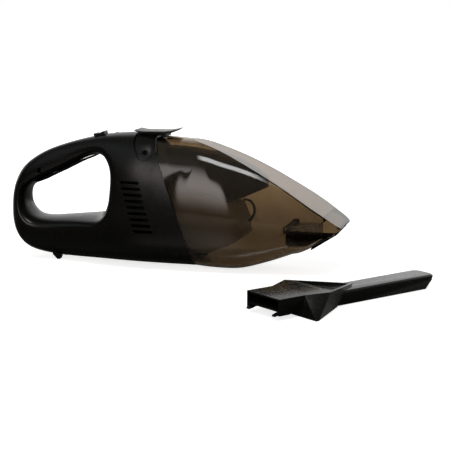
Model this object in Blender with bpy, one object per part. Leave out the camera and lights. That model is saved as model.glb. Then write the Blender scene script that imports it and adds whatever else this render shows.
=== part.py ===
"""Cordless handheld vacuum with a tilting dust bowl and a loose crevice nozzle.

Lengths inside this file are millimetres and become metres when a mesh is made.
+X points to the nose, +Z is up, and the vacuum stands on its rear feet and bowl.
"""
import math

import bmesh
import bpy
import numpy as np
from mathutils import Matrix, Vector
from mathutils.geometry import delaunay_2d_cdt

MM = 0.001
ORIGIN = (41.98, -81.76, 0.0)  # bottom centre of the whole set, in drawing axes
GAP = 0.3                     # between pieces that touch
HALF_GAP = GAP / 2

# Casing, seen from the side: from the seam's top, round the handle, to the seam's foot.
WALL = 2.2
OUTLINE = [(-21.6, 134.6), (-31.6, 136.4), (-56.3, 136.3), (-73.9, 134.7), (-97.0, 130.3),
           (-128.3, 121.5), (-146.6, 114.4), (-160.2, 106.6), (-170.1, 98.6), (-179.4, 84.0),
           (-184.4, 66.0), (-185.2, 49.8), (-183.2, 34.0), (-177.0, 20.5), (-166.1, 10.9),
           (-148.8, 5.6), (-129.4, 3.4), (-87.7, 2.4), (-14.3, 1.6), (24.0, 1.6)]
HOLE = [(-158.0, 80.4), (-125.0, 97.2), (-93.5, 111.4), (-81.6, 112.1), (-72.6, 103.5),
        (-69.6, 78.5), (-72.2, 62.4), (-79.5, 52.4), (-92.0, 49.3), (-123.1, 46.4),
        (-147.0, 44.8), (-158.0, 46.8), (-165.4, 54.0), (-167.6, 64.5), (-165.4, 73.6)]
SEAM = [(-21.6, 134.6), (-12.5, 114.0), (-3.5, 93.0), (6.3, 69.5), (14.6, 45.0),
        (21.5, 25.0), (24.2, 13.0), (24.0, 1.6)]
SEAM_TOP = (-21.6, 134.6)
WIDTHS = [(-186, 23.0), (-150, 25.5), (-120, 28.0), (-95, 34.0), (-60, 44.5), (-20, 48.6),
          (30, 48.9), (70, 47.6), (110, 43.6), (140, 38.6), (160, 34.2), (177, 30.0)]
WIDEST_Z = 43.0               # height of the widest line of the body
REAR_X = -185.2
REAR_ROUND = 22.0             # length over which the rear end rounds off
HOLE_ROUND = 11.0             # rolled edge round the handle opening
UPPER_POWER = 2.2             # squareness of the section above and below its widest line
LOWER_POWER = 2.5

RIM_STEPS = 40                # points along the casing's outline
HOLE_STEPS = 32               # points round the handle opening
GRID_SPACING = 11.0

# Vents, in each casing half
VENT_COUNT = 9
VENT_SIZE = (20.9, 3.0)
VENT_FIRST = (-40.2, 89.6)
VENT_STEP = (1.93, -6.14)
VENT_DEPTH = 36.0             # the cuts reach in to this distance from the middle plane

# Dust bowl
BOWL_WALL = 2.2
BOWL_FOOT = [(24.0, 1.6), (36.0, 0.5), (52.0, 0.0), (70.0, 0.9), (87.6, 5.4), (105.0, 11.1),
             (122.0, 17.5), (134.0, 22.2), (142.0, 26.4)]
MOUTH_LOW = (142.0, 26.4)     # lower lip of the slanted mouth
NOSE_TIP = (176.0, 48.6)
CUT_START = (12.0, 132.2)     # where the flat top leaf begins
RIDGES = [(12, 0.5), (27, 13.0), (46, 17.0), (65, 21.8), (95, 27.3), (122, 30.6), (140, 33.2),
          (158, 31.8), (176, 28.5)]
NOSE_CORNER_X = 163.0         # the nose rounds off in plan from here
BOWL_END_X = 158.0            # end of the hollow
HINGE = (18.0, 2.6)
HINGE_RADIUS = 1.9
HINGE_HALF_WIDTH = 9.0
HINGE_NOTCH = ((14.6, -9.8, -2.0), (30.0, 9.8, 5.6))

BOWL_LOW_STEPS = 5            # points of a section below and above the widest line
BOWL_HIGH_STEPS = 6

# Inlet duct and its mouth
DUCT_X = 119.6
DUCT_HALF_WIDTH = 23.4
DUCT_LOW = 29.6
DUCT_HIGH = 43.2
DUCT_WALL = 1.4

# Inlet flap, on its pin across the duct
FLAP_PIVOT = (118.0, 46.4)
FLAP_PIN_RADIUS = 0.85
FLAP_BORE = 1.15
FLAP_BEAD = 1.9
EAR_WIDTH = 1.4               # thickness of the duct's ears that hold the pin

# Mouth rim, drawn in the mouth's plane
RIM_BORDER = 3.2
RIM_HALF_WIDTH = 26.8
RIM_HEIGHT = 1.9

# Fan, motor and bulkhead
AXIS_Z = 64.0
CAN_RADIUS = 16.0
CAN_SPAN = (-60.0, -29.0)
CAN_SHEET = 1.3
SHAFT_RADIUS = 2.0
SHAFT_BORE = 2.6              # hole in the can and its end cap
HUB_BORE = 2.3                # hole in the armature and the impeller
ARMATURE_RADIUS = 12.6
FAN_RADIUS = 26.0
FAN_SPAN = (-25.5, -17.5)
BLADES = 8
BLADE_THICK = 1.4
FAN_EYE = 19.0                # radius of the shroud's inlet
SHROUD_WALL = 1.8
BULKHEAD_TOP = (-24.6, 130.0)
BULKHEAD_FOOT = (15.6, 5.0)
BULKHEAD_THICK = 2.4
CRADLE = ((-46, -19, 7.4), (-34, 19, 83.6))
CRADLE_WINDOW = ((-50, -12, 12), (-30, 12, 42))
AIR_SLOT_STEP = 5.4
AIR_SLOT_WIDTH = 3.0

# Cells, board and wires
CELL_Z = 22.4
CELL_Y = 7.6
CELL_STARTS = (-148.6, -99.4)
CELL_LENGTH = 48.8
CELL_RADIUS = 7.1
HOLDER_X = (-150.4, -48.6)
HOLDER_HALF_WIDTH = 11.0
BOARD = ((-57, -12, 84.0), (-33, 12, 85.6))
WIRE_ROUTE = [(-47.6, 7.6, 24.0), (-47.0, 9.5, 30.0), (-52.0, 18.5, 44.0), (-57.0, 20.5, 60.0),
              (-62.0, 19.0, 84.0), (-65.0, 13.0, 102.0), (-69.5, 5.0, 115.0), (-72.0, 3.4, 120.6)]
WIRE_RADIUS = 0.9

# Filter: a flange on the bulkhead's slope and a cone of cloth over a cage
FLANGE_SHIFT = 5.0            # filter flange in front of the bulkhead's rear face
FLANGE_RADII = (35.5, 37.5)
FLANGE_Z = 50.5
FLANGE_THICK = 2.4
FILTER_REAR = 8.2             # rear of the cone in front of the bulkhead's rear face
CONE_CENTRE = (28.0, 0.0, 48.0)
CONE_REAR = [(33, 34), (33, 68), (20, 85), (22, 17)]
CONE_FRONT = [(64.5, 21, 66.5), (71.0, 24, 48.4), (73.0, 22, 34.6), (60.0, 23, 26.0), (34.0, 23, 16.4)]
CLOTH_INSIDE = 0.955          # the cone's size inside the cloth
CAGE_OUTSIDE = 0.94
CAGE_INSIDE = 0.89
CAGE_WINDOWS = [((16, -60, 34), (34, 60, 62)), ((40, -60, 36), (58, 60, 58)), ((20, -12, 10), (50, 12, 110))]
PULL_LOOP = [(69.0, 70.4), (74.2, 70.2), (78.8, 66.2), (80.6, 60.0), (79.0, 53.4), (74.0, 48.2)]
LOOP_RADIUS = 1.4
HOOD_CENTRE = (38.0, 0.0, 90.0)
HOOD_INSIDE = 0.94
HOOD = [(94.0, 3.5, 93.2), (95.0, 3.0, 84.6), (78.0, 9.0, 103.0), (63.0, 12.0, 110.0), (40.0, 15.5, 117.0),
        (15.0, 17.5, 121.5), (-10.0, 15.0, 123.0), (2.0, 26.0, 84.0), (72.0, 14.0, 74.5), (50.0, 17.0, 66.0),
        (12.0, 22.0, 66.0)]

# Release lever: a cheek each side of the body and a plate on top
LEVER_PIVOT = (-27.5, 119.8)
LEVER_HALF_WIDTH = 13.0
LEVER_SWING = 5.0
LEVER_THICK = 2.2
LEVER_ROWS = (-47.0, -8.0)
LEVER_REACH = 62.0            # how far its cheeks reach down each side, in degrees
EAR_REAR = [(-41.6, 142.0), (-41.4, 136.4), (-40.6, 128.0), (-38.6, 123.0)]
EAR_RADIUS = 8.3
LEVER_PLATE = [(-44.5, 140.3), (-44.5, 139.3), (-38.0, 137.4), (-12.5, 137.3), (-3.4, 138.4),
               (2.0, 142.0), (-5.0, 140.2), (-12.0, 139.3), (-34.0, 138.9), (-40.0, 139.3)]
LEVER_WEB = ((-39.5, -9, 134.6), (-14.5, 9, 138.2))
LEVER_HOOK = [(-18.5, 138.2), (-16.0, 133.5), (-12.0, 133.5), (-11.3, 134.2), (-11.3, 138.2)]
HOOK_HALF_WIDTH = 9.6
RIM_NOTCH = ((-40, -11.5, 125), (-10.5, 11.5, 140))
PIN_RADIUS = 1.5
PIN_REACH = 27.6
PIN_RECESS = (28.4, 3.2)      # where the recess over the pin starts, and its radius
LUG_SPAN = (6.0, 22.0)
LUG_HALF_LENGTH = 2.5
LUG_FOOT = 34.6               # the rib runs into the wall here
LUG_FOOT_Z = (104.0, 110.4)
LUG_RADIUS = 4.0
COIL_RADIUS = 2.7
COIL_SPAN = 6.8
COIL_TURNS = 3
COIL_STEPS = 8

# Switch and its slot, drawn on a level top and then sloped
SLOPE = math.atan2(3.0, 15.0)             # slope of the casing's top under the switch
KNOB_CENTRE = (-85.4, 132.6)
KNOB_OUTLINE = [(-6, -3.0), (6, -3.0), (5.9, 3.4), (3.4, 3.2), (1.6, 2.3), (-3.0, 2.2), (-4.6, 2.9), (-6, 2.7)]
KNOB_HALF_WIDTH = 5.5
SLIDER_TRAVEL = 6.0
SLIDER_STEM = ((-3, -1.7, -3.9), (3, 1.7, 1.0))
SLIDER_FLANGE = ((-5, -3.4, -4.3), (5, 3.4, -3.1))
SWITCH_BODY = ((-9, -6, -12.5), (15, 6, -4.8))
SWITCH_SLOT = ((-3.4, -2.1, -6), (9.4, 2.1, 6))
RAIL = ((-86, 6.6, 119.0), (-78, 18.0, 122.0))  # rail each side that carries the switch body

# Small pieces of the casing
CASE_SCREW = (-148.5, 94.8)
SCREW_HEAD = 2.5
SCREW_SHANK = 1.35
BOSS_RADIUS = 3.6
BOSS_CLEAR = 3.4              # the boss ends this far under the skin
PILOT_RADIUS = 1.7            # hole for the shank, then the recess for the head
RECESS_RADIUS = 2.9
RECESS_FLOOR = 8.6
LENS = (-66.8, 135.3)
LENS_RADIUS = 2.4
SOCKET_Z = 36.0
SOCKET_RADIUS = 3.9
FOOT_Y = 11.0
FOOT_HALF_WIDTH = 3.0
FOOT_WEDGE = [(-137.0, 9.0), (-137.0, 5.0), (-132.0, 0.0), (-129.5, 0.0), (-127.5, 4.0), (-127.5, 9.0)]
SKIN_STEPS = 40               # samples across the skin when a piece is fitted to it
GRIP_DEPTH = 2.5
GRIP_HALF_WIDTH = 9.0

# Crevice nozzle: rear bottom centre of its plug, and its turn on the surface
NOZZLE_AT = (138.6, -195.7)
NOZZLE_TURN = math.radians(52.2)
NOZZLE_WALL = 1.6
PLUG_REAR = -3.0
PLUG_LENGTH = 40.0
PLUG_HALF_WIDTH = 22.8
PLUG_LOW = 7.8
PLUG_HIGH = 19.3
PLUG_LEG = [(-3.0, 9.0), (-3.0, 4.2), (9.0, 4.2), (16.0, 9.0)]
PLUG_LEG_WIDTH = 4.0
TUBE_HALF_WIDTH = 13.6
TUBE_LOW = 0.6
TUBE_HIGH = 13.6
TUBE_START = 60.0
TUBE_END = 199.4
TUBE_CORNER = 6.0             # radius of the tube's end, seen from above
TUBE_EDGE = 1.3
COLLAR_TOP = (48.0, 32.0, 20.5)           # corner of the collar's flange, far and near alike
COLLAR_LOW = (22.0, 43.0)                 # where the flange's wing touches the surface
COLLAR_TIP = (104.6, 0.0, 15.2)           # point of the arrow, on top of the tube
COLLAR_RECESS = [(55, 25, 17.8), (55, 25, 26), (82, 10, 13.9), (97, 1.5, 13.9), (97, 1.5, 26)]
HOOK_Y = 18.0
SNAP_HOOK = [(7, 0.8), (-5.6, -2.6), (-6.0, -4.2), (-1.5, -3.6), (9, -0.2)]

FAR = 60.0                    # half-length of a cutter that passes right through
SHARP_EDGE = math.radians(35)

# Points on the joints' axes: each moving piece has its origin there.
PIVOTS = {
    "release_lever": (LEVER_PIVOT[0], 0.0, LEVER_PIVOT[1]),
    "switch_slider": (KNOB_CENTRE[0], 0.0, KNOB_CENTRE[1]),
    "motor_shaft": (CAN_SPAN[0], 0.0, AXIS_Z),
    "armature": (CAN_SPAN[0], 0.0, AXIS_Z),
    "impeller": (FAN_SPAN[0], 0.0, AXIS_Z),
    "dust_bowl": (HINGE[0], 0.0, HINGE[1]),
    "inlet_duct": (HINGE[0], 0.0, HINGE[1]),
    "mouth_rim": (HINGE[0], 0.0, HINGE[1]),
    "flap_pin": (HINGE[0], 0.0, HINGE[1]),
    "inlet_flap": (FLAP_PIVOT[0], 0.0, FLAP_PIVOT[1]),
    "filter_flange": (CONE_CENTRE[0], 0.0, FLANGE_Z),
    "filter_seal": (CONE_CENTRE[0], 0.0, FLANGE_Z),
    "filter_cloth": (CONE_CENTRE[0], 0.0, FLANGE_Z),
    "filter_cage": (CONE_CENTRE[0], 0.0, FLANGE_Z),
    "filter_hood": (CONE_CENTRE[0], 0.0, FLANGE_Z),
    "filter_loop": (CONE_CENTRE[0], 0.0, FLANGE_Z),
    "crevice_nozzle": (NOZZLE_AT[0], NOZZLE_AT[1], 0.0),
}

COLOURS = {
    "shell": ((0.010, 0.010, 0.011), 0.34, 0.0, 1.0),
    "trim": ((0.013, 0.013, 0.014), 0.45, 0.0, 1.0),
    "smoke": ((0.16, 0.13, 0.10), 0.05, 0.0, 0.45),
    "duct": ((0.03, 0.026, 0.022), 0.3, 0.0, 1.0),
    "rubber": ((0.02, 0.02, 0.02), 0.7, 0.0, 1.0),
    "cloth": ((0.32, 0.31, 0.29), 0.9, 0.0, 1.0),
    "filter": ((0.06, 0.055, 0.05), 0.5, 0.0, 1.0),
    "steel": ((0.6, 0.6, 0.62), 0.3, 1.0, 1.0),
    "copper": ((0.72, 0.36, 0.2), 0.35, 1.0, 1.0),
    "cell": ((0.05, 0.22, 0.12), 0.45, 0.0, 1.0),
    "white": ((0.75, 0.74, 0.7), 0.5, 0.0, 1.0),
    "board": ((0.02, 0.16, 0.07), 0.5, 0.0, 1.0),
    "lens": ((0.5, 0.03, 0.02), 0.15, 0.0, 1.0),
    "red": ((0.5, 0.02, 0.02), 0.5, 0.0, 1.0),
    "black": ((0.02, 0.02, 0.02), 0.5, 0.0, 1.0),
}


# ---------------------------------------------------------------- scene and materials

def clear_scene():
    for obj in list(bpy.data.objects):
        bpy.data.objects.remove(obj, do_unlink=True)


def new_collection(name):
    collection = bpy.data.collections.new(name)
    bpy.context.scene.collection.children.link(collection)
    return collection


def make_material(node, key):
    colour, roughness, metallic, alpha = COLOURS[key]
    material = bpy.data.materials.new(node)
    material.use_nodes = True
    shader = material.node_tree.nodes["Principled BSDF"]
    shader.inputs["Base Color"].default_value = (*colour, 1.0)
    shader.inputs["Roughness"].default_value = roughness
    shader.inputs["Metallic"].default_value = metallic
    shader.inputs["Alpha"].default_value = alpha
    return material


def add_object(name, bm, material=None):
    """Make an object from a bmesh drawn in millimetres; without a material it is a cutter."""
    pivot = Vector(PIVOTS.get(name, ORIGIN))
    bmesh.ops.translate(bm, vec=-pivot, verts=bm.verts)
    bmesh.ops.scale(bm, vec=(MM, MM, MM), verts=bm.verts)
    bmesh.ops.recalc_face_normals(bm, faces=bm.faces)
    mesh = bpy.data.meshes.new(name)
    bm.to_mesh(mesh)
    bm.free()
    obj = bpy.data.objects.new(name, mesh)
    obj.location = (pivot - Vector(ORIGIN)) * MM
    if material:
        mesh.materials.append(make_material(name, material))
        mesh.shade_smooth()
        mesh.set_sharp_from_angle(angle=SHARP_EDGE)
        PARTS.objects.link(obj)
    else:
        obj.hide_render = True
        obj.display_type = "WIRE"
        CUTTERS.objects.link(obj)
    return obj


def boolean(obj, tool_bm, operation="DIFFERENCE"):
    cutter = add_object(obj.name + "_tool", tool_bm)
    modifier = obj.modifiers.new(cutter.name, "BOOLEAN")
    modifier.operation = operation
    modifier.object = cutter


# ---------------------------------------------------------------- basic shapes

def box_bm(low, high):
    bm = bmesh.new()
    bmesh.ops.create_cube(bm, size=1.0)
    low, high = Vector(low), Vector(high)
    size = high - low
    bmesh.ops.scale(bm, vec=size, verts=bm.verts)
    bmesh.ops.translate(bm, vec=(low + high) / 2, verts=bm.verts)
    return bm


def turned(bm, axis):
    """Turn a shape drawn along Z to run along the given direction."""
    turn = Vector(axis).to_track_quat("Z", "Y").to_matrix().to_4x4()
    bmesh.ops.transform(bm, matrix=turn, verts=bm.verts)
    return bm


def rod_bm(start, end, radius, segments=12):
    start, end = Vector(start), Vector(end)
    bm = bmesh.new()
    bmesh.ops.create_cone(bm, cap_ends=True, segments=segments, radius1=radius, radius2=radius,
                          depth=(end - start).length)
    turned(bm, end - start)
    bmesh.ops.translate(bm, vec=(start + end) / 2, verts=bm.verts)
    return bm


def lathe_bm(profile, origin, axis, segments=24):
    """Turn a closed profile of (distance along axis, radius) points about the axis."""
    bm = bmesh.new()
    ring = [bm.verts.new((radius, 0, along)) for along, radius in profile]
    edges = [bm.edges.new((ring[i], ring[(i + 1) % len(ring)])) for i in range(len(ring))]
    bmesh.ops.spin(bm, geom=ring + edges, cent=(0, 0, 0), axis=(0, 0, 1), dvec=(0, 0, 0),
                   angle=2 * math.pi, steps=segments, use_merge=True)
    bmesh.ops.remove_doubles(bm, verts=bm.verts, dist=0.001)
    turned(bm, axis)
    bmesh.ops.translate(bm, vec=origin, verts=bm.verts)
    return bm


def prism_bm(outline, low, high):
    """Extrude an outline of (x, z) points along Y from low to high."""
    bm = bmesh.new()
    face = bm.faces.new([bm.verts.new((x, low, z)) for x, z in outline])
    grown = bmesh.ops.extrude_face_region(bm, geom=[face])["geom"]
    moved = [part for part in grown if isinstance(part, bmesh.types.BMVert)]
    bmesh.ops.translate(bm, vec=(0, high - low, 0), verts=moved)
    return bm


def hull_bm(points):
    bm = bmesh.new()
    for point in points:
        bm.verts.new(point)
    bmesh.ops.convex_hull(bm, input=bm.verts)
    bmesh.ops.dissolve_limit(bm, angle_limit=0.01, verts=bm.verts, edges=bm.edges)
    return bm


def joined(*shapes):
    """One bmesh that holds several closed shapes, for a cutter."""
    total = bmesh.new()
    for shape in shapes:
        mesh = bpy.data.meshes.new("piece")
        shape.to_mesh(mesh)
        shape.free()
        total.from_mesh(mesh)
        bpy.data.meshes.remove(mesh)
    return total


def tube_object(name, route, radius, material, sides=2):
    """A wire: a poly curve with a round bevel and filled caps."""
    curve = bpy.data.curves.new(name, "CURVE")
    curve.dimensions = "3D"
    curve.bevel_depth = radius * MM
    curve.bevel_resolution = sides
    curve.use_fill_caps = True
    pivot = PIVOTS.get(name, ORIGIN)
    spline = curve.splines.new("POLY")
    spline.points.add(len(route) - 1)
    for point, place in zip(spline.points, route):
        point.co = (*[MM * (value - shift) for value, shift in zip(place, pivot)], 1.0)
    curve.materials.append(make_material(name, material))
    obj = bpy.data.objects.new(name, curve)
    obj.location = (Vector(pivot) - Vector(ORIGIN)) * MM
    PARTS.objects.link(obj)


# ---------------------------------------------------------------- curves and sections

def smooth_curve(points, count):
    """Natural cubic spline through the points, evenly spaced by chord length."""
    p = np.array(points, float)
    t = np.concatenate([[0], np.cumsum(np.linalg.norm(np.diff(p, axis=0), axis=1))])
    size = len(t)
    h = np.diff(t)
    matrix = np.eye(size)
    right = np.zeros_like(p)
    for i in range(1, size - 1):
        matrix[i, i - 1:i + 2] = (h[i - 1], 2 * (h[i - 1] + h[i]), h[i])
        right[i] = 6 * ((p[i + 1] - p[i]) / h[i] - (p[i] - p[i - 1]) / h[i - 1])
    bend = np.linalg.solve(matrix, right)
    s = np.linspace(0, t[-1], count)
    i = np.clip(np.searchsorted(t, s, side="right") - 1, 0, size - 2)
    a, b, w = (t[i + 1] - s)[:, None], (s - t[i])[:, None], h[i][:, None]
    return (bend[i] * a ** 3 + bend[i + 1] * b ** 3) / (6 * w) + \
        (p[i] / w - bend[i] * w / 6) * a + (p[i + 1] / w - bend[i + 1] * w / 6) * b


def smooth_loop(points, count):
    """Closed spline: the ends are run on past each other, then trimmed."""
    extra = 3
    size = len(points)
    long = points[-extra:] + points + points[:extra]
    p = np.array(long, float)
    t = np.concatenate([[0], np.cumsum(np.linalg.norm(np.diff(p, axis=0), axis=1))])
    dense = smooth_curve(long, 4000)
    s = np.linspace(0, t[-1], 4000)
    wanted = np.linspace(t[extra], t[extra + size], count, endpoint=False)
    return np.stack([np.interp(wanted, s, dense[:, k]) for k in (0, 1)], axis=1)


FINE = 1200
OUTLINE_FINE = smooth_curve(OUTLINE, FINE)
REAR_INDEX = int(np.argmin(OUTLINE_FINE[:, 0]))
HOLE_FINE = smooth_loop(HOLE, 400)
SEAM_FINE = smooth_curve(SEAM, 200)
FOOT_FINE = smooth_curve(BOWL_FOOT, 300)
RIDGE_FINE = smooth_curve(RIDGES, 300)
WIDTH_FINE = smooth_curve(WIDTHS, 300)


def casing_top(x):
    """Height of the top line: the casing's, then the bowl's before its top is cut flat."""
    if x > SEAM_TOP[0]:
        return bowl_top(x)
    line = OUTLINE_FINE[:REAR_INDEX + 1][::-1]
    return float(np.interp(x, line[:, 0], line[:, 1]))


def casing_foot(x):
    line = OUTLINE_FINE[REAR_INDEX:]
    return float(np.interp(x, line[:, 0], line[:, 1]))


def body_width(x):
    """Half-width at the widest line, casing and bowl alike."""
    width = float(np.interp(x, WIDTH_FINE[:, 0], WIDTH_FINE[:, 1]))
    corner = max(x - NOSE_CORNER_X, 0) / (NOSE_TIP[0] + 0.2 - NOSE_CORNER_X)
    return width * float(rounded(x - REAR_X, REAR_ROUND)) * (1 - min(corner, 1) ** 5) ** 0.2


def cut_z(x):
    """Height of the flat top leaf, which falls away to the nose."""
    share = max(x - CUT_START[0], 0) / (NOSE_TIP[0] - CUT_START[0])
    return CUT_START[1] - (CUT_START[1] - NOSE_TIP[1] - 0.4) * share ** 1.38


def ridge_half_width(x):
    ridge = float(np.interp(x, RIDGE_FINE[:, 0], RIDGE_FINE[:, 1]))
    return min(ridge, 0.94 * body_width(x))


def bowl_top(x):
    """Top of the full egg section, so that it meets the leaf at the leaf's edge."""
    if x < CUT_START[0]:
        share = (x - SEAM_TOP[0]) / (CUT_START[0] - SEAM_TOP[0])
        return SEAM_TOP[1] + share * (CUT_START[1] - SEAM_TOP[1])
    part = (1 - (ridge_half_width(x) / body_width(x)) ** UPPER_POWER) ** (1 / UPPER_POWER)
    return WIDEST_Z + (cut_z(x) - WIDEST_Z) / part


def bowl_foot(x):
    """Underside line of the bowl, with the straight slant of the mouth in front."""
    if x > MOUTH_LOW[0]:
        share = (x - MOUTH_LOW[0]) / (NOSE_TIP[0] - MOUTH_LOW[0])
        return MOUTH_LOW[1] + share * (NOSE_TIP[1] - MOUTH_LOW[1])
    return float(np.interp(x, FOOT_FINE[:, 0], FOOT_FINE[:, 1]))


def widest_z(x):
    return np.interp(x, (REAR_X, -120.0), (49.8, WIDEST_Z))


def rounded(distance, radius):
    """Height of a quarter ellipse, from 0 at its edge to 1 at its radius."""
    t = np.clip(distance / radius, 0, 1)
    return np.sqrt(np.clip(1 - (1 - t) ** 2, 0, 1))


def section(z, low, middle, high, upper=UPPER_POWER, lower=LOWER_POWER):
    """Half-width, as a share of the widest, of an egg-shaped section at height z."""
    if z >= middle:
        t, power = (z - middle) / (high - middle), upper
    else:
        t, power = (middle - z) / (middle - low), lower
    return (1 - min(max(t, 0.0), 1.0) ** power) ** (1 / power)


def hole_distance(x, z):
    return float(np.min(np.hypot(HOLE_FINE[:, 0] - x, HOLE_FINE[:, 1] - z)))


def casing_half_width(x, z):
    width = body_width(x) * section(z, casing_foot(x), float(widest_z(x)), casing_top(x))
    return width * float(rounded(hole_distance(x, z), HOLE_ROUND))


def seam_x(z):
    return float(np.interp(-z, -SEAM_FINE[:, 1], SEAM_FINE[:, 0]))


# ---------------------------------------------------------------- casing halves

def spread(line, steps):
    """Points along a fine line, spaced by the given number of equal steps."""
    lengths = np.concatenate([[0], np.cumsum(np.linalg.norm(np.diff(line, axis=0), axis=1))])
    wanted = np.linspace(0, lengths[-1], steps + 1)
    return np.stack([np.interp(wanted, lengths, line[:, k]) for k in (0, 1)], axis=1)


def hole_line():
    return spread(np.vstack([HOLE_FINE, HOLE_FINE[:1]]), HOLE_STEPS)[:-1]


def inward_normals(points, closed):
    ahead = np.roll(points, -1, axis=0) - points
    behind = points - np.roll(points, 1, axis=0)
    if not closed:
        ahead[-1] = behind[-1]
        behind[0] = ahead[0]
    along = ahead + behind
    along /= np.linalg.norm(along, axis=1)[:, None]
    return np.stack([-along[:, 1], along[:, 0]], axis=1)


def inside(point, polygon):
    x, z = point
    a, b = polygon, np.roll(polygon, -1, axis=0)
    crosses = (a[:, 1] > z) != (b[:, 1] > z)
    rise = np.where(b[:, 1] == a[:, 1], 1e-9, b[:, 1] - a[:, 1])
    at = a[:, 0] + (z - a[:, 1]) / rise * (b[:, 0] - a[:, 0])
    return bool(np.count_nonzero(crosses & (x < at)) % 2)


def surface_normal(x, z, width_at, step=0.05):
    slope_x = (width_at(x + step, z) - width_at(x - step, z)) / (2 * step)
    slope_z = (width_at(x, z + step) - width_at(x, z - step)) / (2 * step)
    return Vector((-slope_x, 1.0, -slope_z)).normalized()


def casing_layout():
    """Plan of one casing half: rim and hole loops, rings beside them, and a middle grid."""
    rim = spread(OUTLINE_FINE, RIM_STEPS)
    hole = hole_line()
    edge = bowl_ring(0.0, 0.0)[1:BOWL_LOW_STEPS + BOWL_HIGH_STEPS]
    seam = np.array([(seam_x(z), z) for _, _, z in edge])
    border = np.vstack([rim, seam])
    flat = {}
    points = [tuple(p) for p in border] + [tuple(p) for p in hole]
    rim_in = inward_normals(rim, False)
    hole_in = -inward_normals(hole, True)
    if not inside(rim[5] + rim_in[5], border):
        rim_in = -rim_in
    if inside(hole[0] + hole_in[0], hole):
        hole_in = -hole_in
    for i in range(len(rim)):
        flat[i] = Vector((-rim_in[i][0], 0, -rim_in[i][1]))
    for i in range(len(hole)):
        flat[len(border) + i] = Vector((-hole_in[i][0], 0, -hole_in[i][1]))

    def add(point, clear):
        near = min(math.dist(point, other) for other in points)
        if near < clear or not inside(point, border) or inside(point, hole):
            return
        if seam_x(point[1]) - point[0] < clear * 0.7:
            return
        points.append(tuple(point))

    for share in (0.05, 0.25, 0.6, 1.0):
        for i in range(len(hole)):
            add(hole[i] + hole_in[i] * share * HOLE_ROUND, share * HOLE_ROUND * 0.45)
        for i in range(1, len(rim) - 1):
            room = float(np.interp(rim[i][0], (-90, -40), (HOLE_ROUND, 26.0)))
            add(rim[i] + rim_in[i] * share * room, share * room * 0.45)
    for x in np.arange(REAR_X + GRID_SPACING, MOUTH_LOW[0], GRID_SPACING):
        for z in np.arange(GRID_SPACING * 0.6, SEAM_TOP[1], GRID_SPACING):
            add((x, z), GRID_SPACING * 0.6)
    return points, border, hole, flat, len(rim)


def casing_shell(side):
    """Closed shell of one half: side is -1 for the near half and +1 for the far half."""
    points, border, hole, flat, rim_count = casing_layout()
    edges = [(i, (i + 1) % len(border)) for i in range(len(border))]
    first = len(border)
    edges += [(first + i, first + (i + 1) % len(hole)) for i in range(len(hole))]
    plan = [Vector(p) for p in points]
    vertices, _, faces, source, _, _ = delaunay_2d_cdt(plan, edges, [], 0, 1e-5)
    origin = [source[i][0] for i in range(len(vertices))]
    bm = bmesh.new()
    outer, inner = [], []
    for i, plan_point in enumerate(vertices):
        x, z = plan_point
        index = origin[i]
        if index in flat:
            normal, y = flat[index], 0.0
        else:
            y = casing_half_width(x, z)
            normal = surface_normal(x, z, casing_half_width)
        if rim_count <= index < len(border):
            normal = Vector((0, normal.y, normal.z)).normalized()
        base = Vector((x, y, z))
        depth = base - normal * WALL
        depth.y = max(depth.y, 0.0)
        outer.append(bm.verts.new((base.x, side * (base.y + HALF_GAP), base.z)))
        inner.append(bm.verts.new((depth.x, side * (depth.y + HALF_GAP), depth.z)))
    for face in faces:
        centre = sum((Vector(vertices[i]) for i in face), Vector((0, 0))) / len(face)
        if not inside(centre, border) or inside(centre, hole):
            continue
        bm.faces.new([outer[i] for i in face])
        bm.faces.new([inner[i] for i in reversed(face)])
    place = {origin[i]: i for i in range(len(vertices))}
    for a, b in edges:
        a, b = place[a], place[b]
        bm.faces.new((outer[a], outer[b], inner[b], inner[a]))
    bmesh.ops.triangulate(bm, faces=bm.faces)
    return bm


def vent_cutter(side):
    shapes = []
    length, height = VENT_SIZE
    low, high = sorted((side * VENT_DEPTH, side * FAR))
    for i in range(VENT_COUNT):
        x = VENT_FIRST[0] + i * VENT_STEP[0]
        z = VENT_FIRST[1] + i * VENT_STEP[1]
        shapes.append(box_bm((x - length / 2, low, z - height / 2), (x + length / 2, high, z + height / 2)))
    return joined(*shapes)


def ear_outline(pocket=False):
    """Side view of the lever's cheek, or of the pocket it tilts in."""
    px, pz = LEVER_PIVOT
    radius = EAR_RADIUS + (2 * GAP if pocket else 0)
    arc = [(px + radius * math.cos(a), pz + radius * math.sin(a))
           for a in np.linspace(math.radians(190), math.radians(345), 7)]
    tilt = math.radians(LEVER_SWING + 0.5) if pocket else 0.0
    clear = GAP if pocket else 0.0
    rear = [(x - (z - pz) * tilt - clear, z + (x - px) * tilt) for x, z in EAR_REAR]
    ahead = 7.0 if pocket else -0.9
    front = [(seam_x(z) + ahead, z) for z in (118.0, 124.0, 130.0, EAR_REAR[0][1])]
    return rear + arc + front


def pivot_lug(side):
    """Rib from the casing wall up to the boss that holds the lever's pin."""
    px, pz = LEVER_PIVOT
    near, far = LUG_SPAN

    def block(y0, y1, z0, z1):
        low, high = sorted((side * y0, side * y1))
        return box_bm((px - LUG_HALF_LENGTH, low, z0), (px + LUG_HALF_LENGTH, high, z1))

    return [block(near, LUG_FOOT, *LUG_FOOT_Z), block(near, far, LUG_FOOT_Z[1] - 1.4, pz),
            rod_bm((px, side * near, pz), (px, side * far, pz), LUG_RADIUS)]


def screw_boss(side):
    x, z = CASE_SCREW
    outer = casing_half_width(x, z)
    return rod_bm((x, side * HALF_GAP, z), (x, side * (outer - BOSS_CLEAR), z), BOSS_RADIUS)


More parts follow.
